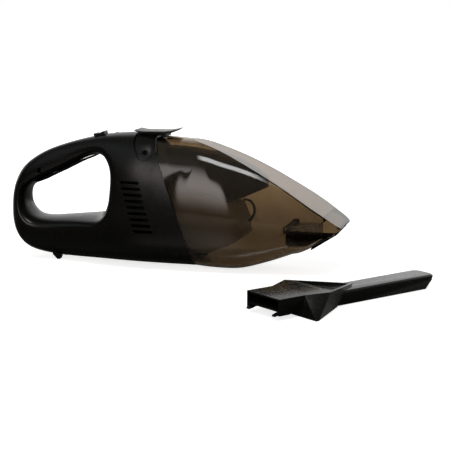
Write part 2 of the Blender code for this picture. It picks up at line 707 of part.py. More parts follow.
def casing_half(name, side):
    half = add_object(name, casing_shell(side), "shell")
    boolean(half, vent_cutter(side))
    boolean(half, prism_bm(ear_outline(pocket=True), -FAR, FAR))
    for lug in pivot_lug(side):
        boolean(half, lug, "UNION")
    px, pz = LEVER_PIVOT
    boolean(half, rod_bm((px, -30, pz), (px, 30, pz), PIN_RADIUS + GAP))
    boolean(half, screw_boss(side), "UNION")
    low, high = sorted((side * RAIL[0][1], side * RAIL[1][1]))
    boolean(half, box_bm((RAIL[0][0], low, RAIL[0][2]), (RAIL[1][0], high, RAIL[1][2])), "UNION")
    x, z = CASE_SCREW
    recess = [(-10, 0), (-10, PILOT_RADIUS), (RECESS_FLOOR, PILOT_RADIUS), (RECESS_FLOOR, RECESS_RADIUS),
              (40, RECESS_RADIUS), (40, 0)]
    boolean(half, lathe_bm(recess, (x, 0, z), (0, -1, 0), 14))
    slot = sloped(box_bm(*SWITCH_SLOT))
    lens_x, lens_z = LENS
    lens = rod_bm((lens_x, 0, lens_z - 12), (lens_x, 0, lens_z + 5), LENS_RADIUS + GAP)
    notch = box_bm(*HINGE_NOTCH)
    socket = rod_bm((REAR_X - 5, 0, SOCKET_Z), (REAR_X + 8, 0, SOCKET_Z), SOCKET_RADIUS + 0.4, segments=14)
    boolean(half, joined(slot, lens, notch, socket))


def sloped(bm):
    """Place a shape drawn on a level top onto the sloping casing top under the switch."""
    turn = Matrix.Rotation(-SLOPE, 4, "Y")
    place = Matrix.Translation((KNOB_CENTRE[0], 0, KNOB_CENTRE[1])) @ turn
    bmesh.ops.transform(bm, matrix=place, verts=bm.verts)
    return bm


def skin_cutter(x0, x1, y1, upper):
    """Block that ends the assembly gap outside the casing's skin, from the middle to y1."""
    points = []
    for x in np.linspace(x0 - 1, x1 + 1, 5):
        heights = np.linspace(casing_top(x), casing_top(x) - 12, SKIN_STEPS)
        if not upper:
            heights = np.linspace(casing_foot(x), casing_foot(x) + 12, SKIN_STEPS)
        widths = np.maximum.accumulate([casing_half_width(x, z) for z in heights])
        for y in np.linspace(0, abs(y1), 12):
            z = float(np.interp(y, widths, heights)) + (GAP if upper else -GAP)
            for side in ((-1, 1) if upper else (math.copysign(1, y1),)):
                points += [(x, side * y, z), (x, side * y, WIDEST_Z)]
    return hull_bm(points)


def build_casing():
    casing_half("casing_near", -1)
    casing_half("casing_far", 1)
    x, z = CASE_SCREW
    screw = add_object("case_screw", rod_bm((x, -10.5, z), (x, -8.9, z), SCREW_HEAD), "steel")
    boolean(screw, rod_bm((x, -9.5, z), (x, 8.0, z), SCREW_SHANK, segments=10), "UNION")
    x, z = LENS
    add_object("indicator_lens", rod_bm((x, 0, z - 5), (x, 0, z + 0.4), LENS_RADIUS), "lens")
    r = SOCKET_RADIUS
    cup = [(0, 1.4), (0, r), (12, r), (12, 1.0), (10, 1.0), (10, 1.4)]
    add_object("charge_socket", lathe_bm(cup, (REAR_X + 1.2, 0, SOCKET_Z), (1, 0, 0), 14), "black")
    for name, side in (("rear_foot_near", -1), ("rear_foot_far", 1)):
        middle = side * FOOT_Y
        foot = prism_bm(FOOT_WEDGE, middle - FOOT_HALF_WIDTH, middle + FOOT_HALF_WIDTH)
        foot = add_object(name, foot, "rubber")
        boolean(foot, skin_cutter(FOOT_WEDGE[0][0], FOOT_WEDGE[-1][0], side * 20.0, upper=False))


def build_grip():
    """Soft insert on the underside of the upper handle bar."""
    line = hole_line()
    upper = np.array(sorted([tuple(p) for p in line if p[1] > 80.0 and p[0] < -88.0]))
    across = inward_normals(upper, False)
    if not inside(upper[2] + across[2], HOLE_FINE):
        across = -across
    top = [tuple(p + n * GAP) for p, n in zip(upper, across)]
    depth = [0.8] + [GRIP_DEPTH] * (len(upper) - 2) + [0.8]
    low = [tuple(p + n * d) for p, n, d in zip(upper, across, depth)]
    add_object("grip_insert", prism_bm(top + low[::-1], -GRIP_HALF_WIDTH, GRIP_HALF_WIDTH), "rubber")


# ---------------------------------------------------------------- lever and switch

def saddle_bm(thick):
    """Strip of the body's skin over its top, in front of the handle, as a closed shell."""
    turns = np.linspace(-1, 1, 13)
    rows = np.linspace(*LEVER_ROWS, 8)
    bm = bmesh.new()
    layers = []
    for inset in (0.0, thick):
        grid = []
        for x in rows:
            width, top = body_width(x) - inset, casing_top(x) - inset
            line = []
            for turn in turns:
                angle = math.radians(90 - LEVER_REACH * turn)
                y = width * math.copysign(abs(math.cos(angle)) ** (2 / UPPER_POWER), math.cos(angle))
                z = WIDEST_Z + (top - WIDEST_Z) * math.sin(angle) ** (2 / UPPER_POWER)
                line.append(bm.verts.new((x, y, z)))
            grid.append(line)
        layers.append(grid)
    bridge_layers(bm, *layers)
    return bm


def bridge_layers(bm, outer, inner):
    """Close two grids of vertices of one size into a thick sheet."""
    rows, columns = len(outer), len(outer[0])
    for i in range(rows - 1):
        for j in range(columns - 1):
            for grid in (outer, inner):
                bm.faces.new((grid[i][j], grid[i + 1][j], grid[i + 1][j + 1], grid[i][j + 1]))
    ring = [(i, 0) for i in range(rows)] + [(rows - 1, j) for j in range(1, columns)]
    ring += [(i, columns - 1) for i in range(rows - 2, -1, -1)] + [(0, j) for j in range(columns - 2, 0, -1)]
    for (a, b), (c, d) in zip(ring, ring[1:] + ring[:1]):
        bm.faces.new((outer[a][b], outer[c][d], inner[c][d], inner[a][b]))


def build_lever():
    px, pz = LEVER_PIVOT
    start, radius = PIN_RECESS
    wide = LEVER_HALF_WIDTH
    lever = add_object("release_lever", saddle_bm(LEVER_THICK), "trim")
    boolean(lever, prism_bm(ear_outline(), -FAR, FAR), "INTERSECT")
    boolean(lever, box_bm(*LEVER_WEB), "UNION")
    boolean(lever, prism_bm(LEVER_PLATE, -wide, wide), "UNION")
    boolean(lever, prism_bm(LEVER_HOOK, -HOOK_HALF_WIDTH, HOOK_HALF_WIDTH), "UNION")
    boolean(lever, rod_bm((px, -FAR, pz), (px, FAR, pz), PIN_RADIUS + GAP))
    for side in (-1, 1):
        boolean(lever, rod_bm((px, side * start, pz), (px, side * FAR, pz), radius, segments=16))
    add_object("lever_pin", rod_bm((px, -PIN_REACH, pz), (px, PIN_REACH, pz), PIN_RADIUS), "steel")
    steps = COIL_TURNS * COIL_STEPS
    coil = []
    for i in range(steps + 1):
        angle = math.pi + 2 * math.pi * i / COIL_STEPS
        y = COIL_SPAN * (i / steps - 0.5)
        coil.append((px + COIL_RADIUS * math.cos(angle), y, pz + COIL_RADIUS * math.sin(angle)))
    first = (px - 9.0, -COIL_SPAN / 2, pz + 6.0)
    last = (px - 8.0, COIL_SPAN / 2, pz - 5.0)
    tube_object("lever_spring", [first] + coil + [last], 0.5, "steel", sides=1)


def build_switch():
    knob = sloped(prism_bm(KNOB_OUTLINE, -KNOB_HALF_WIDTH, KNOB_HALF_WIDTH))
    slider = add_object("switch_slider", knob, "trim")
    rear, front = KNOB_CENTRE[0] + KNOB_OUTLINE[0][0], KNOB_CENTRE[0] + KNOB_OUTLINE[1][0]
    along = Vector((math.cos(SLOPE), 0, math.sin(SLOPE)))
    for travel in np.linspace(0, SLIDER_TRAVEL, 3):
        skin = skin_cutter(rear - 3, front + SLIDER_TRAVEL + 3, KNOB_HALF_WIDTH + 1.5, upper=True)
        bmesh.ops.translate(skin, vec=-along * travel, verts=skin.verts)
        boolean(slider, skin)
    boolean(slider, sloped(box_bm(*SLIDER_STEM)), "UNION")
    boolean(slider, sloped(box_bm(*SLIDER_FLANGE)), "UNION")
    add_object("switch_body", sloped(box_bm(*SWITCH_BODY)), "black")


# ---------------------------------------------------------------- bulkhead, motor, battery

def slab_bm(outline, thick, shift=0.0):
    """Plate on the slanted bulkhead plane: outline points are (y, z on the plane's rear face)."""
    slope = Vector((BULKHEAD_FOOT[0] - BULKHEAD_TOP[0], 0, BULKHEAD_FOOT[1] - BULKHEAD_TOP[1]))
    normal = Vector((-slope.z, 0, slope.x)).normalized()
    bm = bmesh.new()
    start = [Vector((plane_x(z), y, z)) + normal * shift for y, z in outline]
    face = bm.faces.new([bm.verts.new(p) for p in start])
    grown = bmesh.ops.extrude_face_region(bm, geom=[face])["geom"]
    moved = [part for part in grown if isinstance(part, bmesh.types.BMVert)]
    bmesh.ops.translate(bm, vec=normal * thick, verts=moved)
    return bm


def plane_x(z):
    """X of the bulkhead's rear face at height z."""
    share = (BULKHEAD_TOP[1] - z) / (BULKHEAD_TOP[1] - BULKHEAD_FOOT[1])
    return BULKHEAD_TOP[0] + share * (BULKHEAD_FOOT[0] - BULKHEAD_TOP[0])


def wall_outline(inset, steps=9):
    """Outline (y, z) of the space inside the casing on the bulkhead plane."""
    low, high = 1.6 + inset + 1.6, SEAM_TOP[1] - inset - 2.8
    side = []
    for a in np.linspace(0, math.pi, steps):
        z = (low + high) / 2 - (high - low) / 2 * math.cos(a)
        x = plane_x(z)
        share = section(z, low - 0.6, WIDEST_Z, high + 0.6)
        side.append(((body_width(x) - inset) * share, z))
    return side + [(-y, z) for y, z in side[::-1]]


def fan_collar(segments=20):
    """Ring behind the bulkhead that holds the fan's shroud."""
    bm = bmesh.new()
    rings = []
    outer, inner = FAN_RADIUS + 5.2, FAN_RADIUS + 3.6
    for radius, front in ((outer, False), (outer, True), (inner, True), (inner, False)):
        ring = []
        for i in range(segments):
            angle = 2 * math.pi * i / segments
            y, z = radius * math.sin(angle), AXIS_Z + radius * math.cos(angle)
            ring.append(bm.verts.new((plane_x(z) + 1.0 if front else FAN_SPAN[1] - 1.5, y, z)))
        rings.append(ring)
    for a, b in zip(rings, rings[1:] + rings[:1]):
        for i in range(segments):
            j = (i + 1) % segments
            bm.faces.new((a[i], a[j], b[j], b[i]))
    return bm


def build_bulkhead():
    plate = add_object("motor_bulkhead", slab_bm(wall_outline(3.2), BULKHEAD_THICK), "black")
    slots = []
    half = AIR_SLOT_WIDTH / 2
    for y in np.arange(-3, 4) * AIR_SLOT_STEP:
        reach = math.sqrt((0.85 * FAN_RADIUS) ** 2 - y * y)
        slots.append(box_bm((-30, y - half, AXIS_Z - reach), (30, y + half, AXIS_Z + reach)))
    boolean(plate, joined(*slots))
    boolean(plate, fan_collar(), "UNION")
    seal = add_object("bulkhead_seal", slab_bm(wall_outline(3.8), 1.4, BULKHEAD_THICK + GAP), "rubber")
    boolean(seal, slab_bm(wall_outline(6.6), 6.0, BULKHEAD_THICK - 2))


def turned_part(name, profile, material, segments=24):
    """A piece turned about the motor's axis: profile points are (x, radius)."""
    return add_object(name, lathe_bm(profile, (0, 0, AXIS_Z), (1, 0, 0), segments), material)


def build_motor():
    rear, front = CAN_SPAN
    r = CAN_RADIUS
    inner = r - CAN_SHEET
    turned_part("motor_can", [(rear, inner), (rear, r), (front, r), (front, SHAFT_BORE),
                              (front - CAN_SHEET, SHAFT_BORE), (front - CAN_SHEET, inner)], "steel")
    turned_part("motor_end_cap", [(rear - 2.6, SHAFT_BORE), (rear - 2.6, r - 1), (rear - GAP, r),
                                  (rear - GAP, SHAFT_BORE)], "white")
    shaft = rod_bm((rear - 2.2, 0, AXIS_Z), (FAN_SPAN[1] + 2.0, 0, AXIS_Z), SHAFT_RADIUS)
    add_object("motor_shaft", shaft, "steel")
    turned_part("armature", [(rear + 5, HUB_BORE), (rear + 5, ARMATURE_RADIUS), (front - 5, ARMATURE_RADIUS),
                             (front - 5, HUB_BORE)], "copper", 16)
    cradle = add_object("motor_cradle", box_bm(*CRADLE), "black")
    boolean(cradle, rod_bm((-50, 0, AXIS_Z), (-30, 0, AXIS_Z), r + GAP, segments=24))
    boolean(cradle, box_bm(*CRADLE_WINDOW))
    x0, x1 = FAN_SPAN
    impeller = turned_part("impeller", [(x0, HUB_BORE), (x0, FAN_RADIUS), (x0 + 1.4, FAN_RADIUS),
                                        (x0 + 1.4, 5.0), (x1, 4.4), (x1, HUB_BORE)], "white")
    half = BLADE_THICK / 2
    blades = []
    for i in range(BLADES):
        blade = box_bm((x0 + 1.0, 4.0, -half), (x1 - 0.6, FAN_RADIUS - 1.0, half))
        turn = Matrix.Translation((0, 0, AXIS_Z)) @ Matrix.Rotation(2 * math.pi * i / BLADES, 4, "X")
        bmesh.ops.transform(blade, matrix=turn, verts=blade.verts)
        blades.append(blade)
    boolean(impeller, joined(*blades), "UNION")
    wall = FAN_RADIUS + 1.5
    outer = wall + SHROUD_WALL
    turned_part("fan_shroud", [(x0 - 1.6, wall), (x0 - 1.6, outer), (x1 + 2.4, outer), (x1 + 2.4, FAN_EYE),
                               (x1 + 1.2, FAN_EYE), (x1 + 1.2, wall)], "black", 20)


def build_electrics():
    places = [(x, side * CELL_Y) for x in CELL_STARTS for side in (-1, 1)]
    for index, (x, y) in enumerate(places, start=1):
        cell = rod_bm((x, y, CELL_Z), (x + CELL_LENGTH, y, CELL_Z), CELL_RADIUS)
        add_object("battery_cell_%d" % index, cell, "cell")
    (x0, x1), wide = HOLDER_X, HOLDER_HALF_WIDTH
    tray = box_bm((x0, -wide, CELL_Z - 10.6), (x1, wide, CELL_Z - 7.5))
    holder = add_object("battery_holder", tray, "black")
    boolean(holder, box_bm((x0, -wide, CELL_Z - 8), (x0 + 1.4, wide, CELL_Z + 4)), "UNION")
    add_object("charge_board", box_bm(*BOARD), "board")
    for name, side, colour in (("wire_positive", -1, "red"), ("wire_negative", 1, "black")):
        route = smooth_curve([(x, side * y, z) for x, y, z in WIRE_ROUTE], 12)
        tube_object(name, [tuple(p) for p in route], WIRE_RADIUS, colour, sides=1)


# ---------------------------------------------------------------- dust bowl

def bowl_ring(share, inset, end_x=None):
    """One ring of the bowl, from its foot up the near side, over the leaf and down again."""
    low_steps, high_steps = BOWL_LOW_STEPS, BOWL_HIGH_STEPS
    middle = seam_x(WIDEST_Z)
    end = NOSE_TIP[0] if end_x is None else end_x
    station = middle + (end - middle) * share
    half = []
    for k in range(low_steps + high_steps + 2):
        x = station
        for _ in range(8):
            width = max(body_width(x) - inset, 0.6)
            foot = bowl_foot(x) + inset
            top = bowl_top(x) - inset
            leaf = cut_z(x) - inset if x > CUT_START[0] else top
            power = LOWER_POWER + 4.0 * float(np.interp(x, (125, 150), (0, 1)))
            ridge = max(ridge_half_width(x) - inset * 0.55, 0.3)
            limit = math.acos(min((ridge / width), 1.0) ** (UPPER_POWER / 2))
            middle_z = max(WIDEST_Z, foot + 1.0)
            middle_z = min(middle_z, (foot + leaf) / 2 + 2) if x > 150 else middle_z
            if k < low_steps:
                angle = math.pi / 2 * (1 - k / low_steps)
                y = width * math.cos(angle) ** (2 / power)
                z = middle_z - (middle_z - foot) * math.sin(angle) ** (2 / power)
            elif k <= low_steps + high_steps:
                angle = limit * (k - low_steps) / high_steps
                y = width * math.cos(angle) ** (2 / UPPER_POWER)
                rise = math.sin(angle) ** (2 / UPPER_POWER) / max(math.sin(limit), 1e-6) ** (2 / UPPER_POWER)
                z = middle_z + (leaf - middle_z) * rise
            else:
                y, z = 0.0, leaf
            x = station + (seam_x(z) + GAP - middle) * (1 - share) ** 2
        half.append((x, y, z))
    half[0] = (half[0][0], 0.0, half[0][2])
    return [(x, -y, z) for x, y, z in half] + half[-2:0:-1]


def bowl_shell_bm():
    outer_shares = (0, 0.1, 0.22, 0.34, 0.46, 0.58, 0.68, 0.76, 0.84, 0.9, 0.95, 0.98, 0.995)
    inner_shares = (0, 0.11, 0.25, 0.39, 0.53, 0.67, 0.8, 0.9, 1.0)
    bm = bmesh.new()
    outer = [[bm.verts.new(p) for p in bowl_ring(s, 0.0)] for s in outer_shares]
    inner = [[bm.verts.new(p) for p in bowl_ring(s, BOWL_WALL, end_x=BOWL_END_X)] for s in inner_shares]
    for grid in (outer, inner):
        for a, b in zip(grid, grid[1:]):
            for i in range(len(a)):
                j = (i + 1) % len(a)
                bm.faces.new((a[i], a[j], b[j], b[i]))
        bm.faces.new(grid[-1])
    for i in range(len(outer[0])):
        j = (i + 1) % len(outer[0])
        bm.faces.new((outer[0][i], outer[0][j], inner[0][j], inner[0][i]))
    bmesh.ops.triangulate(bm, faces=bm.faces)
    return bm


def duct_outline(grow, rear):
    """Side view of the inlet duct, its front cut along the mouth's slant."""
    low, high = DUCT_LOW - grow, DUCT_HIGH + grow
    return [(rear, low), (mouth_x(low) - 0.2, low), (mouth_x(high) - 0.2, high), (rear, high)]


def mouth_x(z):
    share = (z - MOUTH_LOW[1]) / (NOSE_TIP[1] - MOUTH_LOW[1])
    return MOUTH_LOW[0] + share * (NOSE_TIP[0] - MOUTH_LOW[0])


def mouth_frame(along, across, out):
    """Box drawn in the mouth's plane: along its slant, across it, and out of it."""
    slant = Vector((NOSE_TIP[0] - MOUTH_LOW[0], 0, NOSE_TIP[1] - MOUTH_LOW[1])).normalized()
    normal = Vector((slant.z, 0, -slant.x))
    bm = box_bm((along[0], across[0], out[0]), (along[1], across[1], out[1]))
    matrix = Matrix((slant, Vector((0, 1, 0)), normal)).transposed().to_4x4()
    place = Matrix.Translation((MOUTH_LOW[0], 0, MOUTH_LOW[1])) @ matrix
    bmesh.ops.transform(bm, matrix=place, verts=bm.verts)
    return bm


def build_bowl():
    hx, hz = HINGE
    wide = HINGE_HALF_WIDTH
    half = DUCT_HALF_WIDTH + DUCT_WALL
    low, high = DUCT_LOW - DUCT_WALL - GAP, DUCT_HIGH + DUCT_WALL + GAP
    bowl = add_object("dust_bowl", bowl_shell_bm(), "smoke")
    boolean(bowl, prism_bm([(138, low), (180, low), (180, high), (138, high)], -half - GAP, half + GAP))
    boolean(bowl, box_bm(*RIM_NOTCH))
    boolean(bowl, rod_bm((hx, -wide, hz), (hx, wide, hz), HINGE_RADIUS), "UNION")
    boolean(bowl, box_bm((hx, -wide, hz - 1.1), (hx + 9.5, wide, hz + 0.9)), "UNION")


def build_duct():
    half = DUCT_HALF_WIDTH + DUCT_WALL
    duct = add_object("inlet_duct", prism_bm(duct_outline(DUCT_WALL, DUCT_X), -half, half), "duct")
    boolean(duct, box_bm((DUCT_X - 3, -DUCT_HALF_WIDTH, DUCT_LOW), (185, DUCT_HALF_WIDTH, DUCT_HIGH)))
    x, z = FLAP_PIVOT
    for side in (-1, 1):
        low, high = sorted((side * (half - EAR_WIDTH), side * half))
        boolean(duct, box_bm((x - 2.2, low, z - 5), (x + 4.5, high, z + 2.2)), "UNION")
    boolean(duct, rod_bm((x, -FAR, z), (x, FAR, z), FLAP_BORE))
    length = math.dist(MOUTH_LOW, NOSE_TIP)
    low = (DUCT_LOW - MOUTH_LOW[1]) / (NOSE_TIP[1] - MOUTH_LOW[1]) * length
    high = (DUCT_HIGH - MOUTH_LOW[1]) / (NOSE_TIP[1] - MOUTH_LOW[1]) * length
    wide = RIM_HALF_WIDTH
    frame = mouth_frame((low - RIM_BORDER, high + RIM_BORDER), (-wide, wide), (GAP, RIM_HEIGHT))
    rim = add_object("mouth_rim", frame, "rubber")
    boolean(rim, mouth_frame((low, high), (-DUCT_HALF_WIDTH, DUCT_HALF_WIDTH), (-2, 4)))


def build_flap():
    x, z = FLAP_PIVOT
    wide = DUCT_HALF_WIDTH - 1.6
    reach = DUCT_HALF_WIDTH + 1.2
    flap = add_object("inlet_flap", box_bm((x - 0.1, -wide, DUCT_LOW - 0.6), (x + 1.2, wide, z)), "rubber")
    boolean(flap, rod_bm((x, -wide, z), (x, wide, z), FLAP_BEAD), "UNION")
    boolean(flap, rod_bm((x, -FAR, z), (x, FAR, z), FLAP_BORE))
    add_object("flap_pin", rod_bm((x, -reach, z), (x, reach, z), FLAP_PIN_RADIUS, segments=10), "steel")


def filter_points(scale):
    """Corner points of the filter's cone, shrunk about its middle."""
    centre = Vector(CONE_CENTRE)
    corners = [(plane_x(z) + FILTER_REAR, y, z) for y, z in CONE_REAR] + CONE_FRONT
    points = [Vector((x, side * y, z)) for side in (-1, 1) for x, y, z in corners]
    return [centre + (point - centre) * scale for point in points]


def hood_points(scale):
    """Corner points of the beak over the cone, shrunk about its middle."""
    centre = Vector(HOOD_CENTRE)
    points = [Vector((x, side * y, z)) for side in (-1, 1) for x, y, z in HOOD]
    return [centre + (point - centre) * scale for point in points]


def filter_rear_bm(scale):
    """Plug that opens the rear of the filter's hollow."""
    rear = [p for p in filter_points(scale) if p.x < plane_x(p.z) + FILTER_REAR + 8]
    return hull_bm([p + Vector((shift, 0, 0)) for p in rear for shift in (-12, 1)])


def flange_outline(share):
    """Oval (y, z) outline of the filter's flange, at a share of its full size."""
    wide, tall = FLANGE_RADII
    turns = np.linspace(0, 2 * math.pi, 24)[:-1]
    return [(share * wide * math.cos(a), FLANGE_Z + share * tall * math.sin(a)) for a in turns]


def build_filter():
    ring = add_object("filter_flange", slab_bm(flange_outline(1.0), FLANGE_THICK, FLANGE_SHIFT), "filter")
    boolean(ring, slab_bm(flange_outline(0.8), 12.0, FLANGE_SHIFT - 4))
    seal = add_object("filter_seal", slab_bm(flange_outline(0.97), 2.0, FLANGE_SHIFT - 2.3), "rubber")
    boolean(seal, slab_bm(flange_outline(0.86), 12.0, FLANGE_SHIFT - 6))
    cloth = add_object("filter_cloth", hull_bm(filter_points(1.0)), "cloth")
    boolean(cloth, hull_bm(filter_points(CLOTH_INSIDE)))
    boolean(cloth, filter_rear_bm(CLOTH_INSIDE))
    cage = add_object("filter_cage", hull_bm(filter_points(CAGE_OUTSIDE)), "filter")
    boolean(cage, hull_bm(filter_points(CAGE_INSIDE)))
    boolean(cage, filter_rear_bm(CAGE_INSIDE))
    boolean(cage, joined(*[box_bm(*window) for window in CAGE_WINDOWS]))
    hood = add_object("filter_hood", hull_bm(hood_points(1.0)), "filter")
    boolean(hood, hull_bm(hood_points(HOOD_INSIDE)))
    boolean(hood, hull_bm(filter_points(1.012)))
    route = smooth_curve([(x, 0.0, z) for x, z in PULL_LOOP], 9)
    tube_object("filter_loop", [tuple(p) for p in route], LOOP_RADIUS, "filter", sides=2)


# ---------------------------------------------------------------- crevice nozzle

def nozzle_place(bm):
    place = Matrix.Translation((NOZZLE_AT[0], NOZZLE_AT[1], 0)) @ Matrix.Rotation(NOZZLE_TURN, 4, "Z")
    bmesh.ops.transform(bm, matrix=place, verts=bm.verts)
    return bm


def mirrored_hull(points):
    return hull_bm([(x, side * y, z) for side in (-1, 1) for x, y, z in points])


def end_ring(inset, z):
    """Rounded corner of the tube's far end, seen from above."""
    far, wide = TUBE_END - inset - TUBE_CORNER, TUBE_HALF_WIDTH - inset - TUBE_CORNER
    return [(far + TUBE_CORNER * math.sin(a), wide + TUBE_CORNER * math.cos(a), z)
            for a in np.linspace(0, math.pi / 2, 5)]


def build_nozzle():
    """Drawn along X from the plug's open end, then turned on to its place."""
    w, z0, z1 = PLUG_HALF_WIDTH, PLUG_LOW, PLUG_HIGH
    t, low, high = TUBE_HALF_WIDTH, TUBE_LOW, TUBE_HIGH
    wall = NOZZLE_WALL
    foot_x, foot_y = COLLAR_LOW
    collar = [COLLAR_TIP, (26, w, z0), (26, w, z1), COLLAR_TOP, (foot_x, foot_y, 0.0),
              (foot_x + 3, foot_y, 0.0), (78, t + 1.0, high + 1.2), (71, t + 1.4, 0.0)]
    nozzle = add_object("crevice_nozzle", nozzle_place(mirrored_hull(collar)), "trim")
    boolean(nozzle, nozzle_place(mirrored_hull(COLLAR_RECESS)))
    boolean(nozzle, nozzle_place(box_bm((PLUG_REAR, -w, z0), (PLUG_LENGTH, w, z1))), "UNION")
    end = TUBE_END
    blade = [(TUBE_START, t, low), (end - 13, t, low), (TUBE_START, t, high - TUBE_EDGE),
             (TUBE_START, t - TUBE_EDGE, high)]
    blade += end_ring(TUBE_EDGE, high) + end_ring(0.0, high - TUBE_EDGE) + end_ring(0.5, high - 5.5)
    boolean(nozzle, nozzle_place(mirrored_hull(blade)), "UNION")
    bore = box_bm((PLUG_REAR - 2, -w + wall, z0 + wall), (46, w - wall, z1 - wall))
    wide, narrow = w - wall - 0.1, t - wall + 0.1
    funnel = mirrored_hull([(45.5, wide, z0 + wall + 0.1), (45.5, wide, z1 - wall - 0.1),
                            (80, narrow, low + wall - 0.1), (80, narrow, high - wall + 0.1)])
    lumen = box_bm((79.5, -t + wall, low + wall), (end + 4, t - wall, high - wall))
    for cutter in (bore, funnel, lumen):
        boolean(nozzle, nozzle_place(cutter))
    hook = [(x, z0 + z) for x, z in SNAP_HOOK]
    for side in (-1, 1):
        near, far = sorted((side * w, side * (w - PLUG_LEG_WIDTH)))
        boolean(nozzle, nozzle_place(prism_bm(PLUG_LEG, near, far)), "UNION")
        middle = side * HOOK_Y
        boolean(nozzle, nozzle_place(prism_bm(hook, middle - 2, middle + 2)), "UNION")


# ---------------------------------------------------------------- build

clear_scene()
PARTS = new_collection("handheld_vacuum")
CUTTERS = new_collection("cutters")
build_casing()
build_grip()
build_lever()
build_switch()
build_bulkhead()
build_motor()
build_electrics()
build_bowl()
build_duct()
build_flap()
build_filter()
build_nozzle()
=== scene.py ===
"""Looks of the handheld vacuum: fine surfaces, materials, studio and camera.

Lengths are millimetres in the drawing axes of the part (nose towards +X) and become
metres in the row frame when a mesh is made.
"""
import math

import bmesh
import bpy
import numpy as np
from mathutils import Matrix, Vector
from mathutils.geometry import delaunay_2d_cdt


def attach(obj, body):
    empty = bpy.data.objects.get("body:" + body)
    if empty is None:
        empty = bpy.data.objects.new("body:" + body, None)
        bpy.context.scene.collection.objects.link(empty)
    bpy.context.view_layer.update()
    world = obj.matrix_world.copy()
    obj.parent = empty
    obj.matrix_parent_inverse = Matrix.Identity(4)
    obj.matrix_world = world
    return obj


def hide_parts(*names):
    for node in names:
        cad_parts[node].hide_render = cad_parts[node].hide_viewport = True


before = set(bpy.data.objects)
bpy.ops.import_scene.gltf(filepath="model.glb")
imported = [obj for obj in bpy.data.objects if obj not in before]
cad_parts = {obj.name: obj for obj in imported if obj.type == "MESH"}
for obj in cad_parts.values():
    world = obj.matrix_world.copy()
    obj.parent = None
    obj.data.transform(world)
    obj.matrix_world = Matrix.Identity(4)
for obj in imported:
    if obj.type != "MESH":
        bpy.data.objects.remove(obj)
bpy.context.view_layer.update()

MM = 0.001
ORIGIN = (41.98, -81.76, 0.0)  # bottom centre of the whole set, in drawing axes
GAP = 0.3                     # between pieces that touch
HALF_GAP = GAP / 2
MERGE_DISTANCE = 0.00002      # metres
FLAT_ANGLE = 1.0              # degrees; faces bent less than this become one before rounding

# Casing, seen from the side: from the seam's top, round the handle, to the seam's foot.
WALL = 2.2
OUTLINE = [(-21.6, 134.6), (-31.6, 136.4), (-56.3, 136.3), (-73.9, 134.7), (-97.0, 130.3),
           (-128.3, 121.5), (-146.6, 114.4), (-160.2, 106.6), (-170.1, 98.6), (-179.4, 84.0),
           (-184.4, 66.0), (-185.2, 49.8), (-183.2, 34.0), (-177.0, 20.5), (-166.1, 10.9),
           (-148.8, 5.6), (-129.4, 3.4), (-87.7, 2.4), (-14.3, 1.6), (24.0, 1.6)]
HOLE = [(-158.0, 80.4), (-125.0, 97.2), (-93.5, 111.4), (-81.6, 112.1), (-72.6, 103.5),
        (-69.6, 78.5), (-72.2, 62.4), (-79.5, 52.4), (-92.0, 49.3), (-123.1, 46.4),
        (-147.0, 44.8), (-158.0, 46.8), (-165.4, 54.0), (-167.6, 64.5), (-165.4, 73.6)]
SEAM = [(-21.6, 134.6), (-12.5, 114.0), (-3.5, 93.0), (6.3, 69.5), (14.6, 45.0),
        (21.5, 25.0), (24.2, 13.0), (24.0, 1.6)]
SEAM_TOP = (-21.6, 134.6)
WIDTHS = [(-186, 23.0), (-150, 25.5), (-120, 28.0), (-95, 34.0), (-60, 44.5), (-20, 48.6),
          (30, 48.9), (70, 47.6), (110, 43.6), (140, 38.6), (160, 34.2), (177, 30.0)]
WIDEST_Z = 43.0               # height of the widest line of the body
REAR_X = -185.2
REAR_ROUND = 22.0             # length over which the rear end rounds off
HOLE_ROUND = 11.0             # rolled edge round the handle opening
UPPER_POWER = 2.2             # squareness of the section above and below its widest line
LOWER_POWER = 2.5

WIDEST_REAR = (-120.0, 49.8)  # behind this x the widest line climbs, to this height at the rear
NOSE_MARGIN = (0.2, 0.4)      # the body closes this far in front of the nose tip and above it
LEAF_POWER = 1.38             # how the leaf's fall steepens towards the nose
LEAF_SHARE = 0.94             # widest leaf, as a share of the body's half-width
THROUGH = 60.0                # half-length of a cutter that passes right through the body

RIM_STEPS = 220
HOLE_STEPS = 120
GRID_SPACING = 3.4
EDGE_RINGS = 8                # rings of points beside the rim and the handle opening
RING_CLEAR = 0.5              # free distance round a point, as a share of the spacing there
GRID_CLEAR = 0.62
SEAM_CLEAR = 0.7              # the same beside the seam, as a share of the other two
COLUMN_SHARE = 0.87           # spacing along x, as a share of the spacing along z
GRID_END = (30, 135)          # the grid stops at this x and z
RIM_ROOM = ((-90, -40), (HOLE_ROUND, 26.0))   # depth of the rings inside the rim, against x
MOST_POINTS = 20000
CASING_SMOOTH = 40.0          # degrees; sharper bends keep their edge
SURFACE_STEP = 0.05           # half the span over which a surface slope is measured

# Vents, in each casing half
VENT_COUNT = 9
VENT_SIZE = (20.9, 3.0)
VENT_FIRST = (-40.2, 89.6)
VENT_STEP = (1.93, -6.14)
VENT_DEPTH = (33.0, THROUGH)  # the cutter's reach, measured from the middle plane

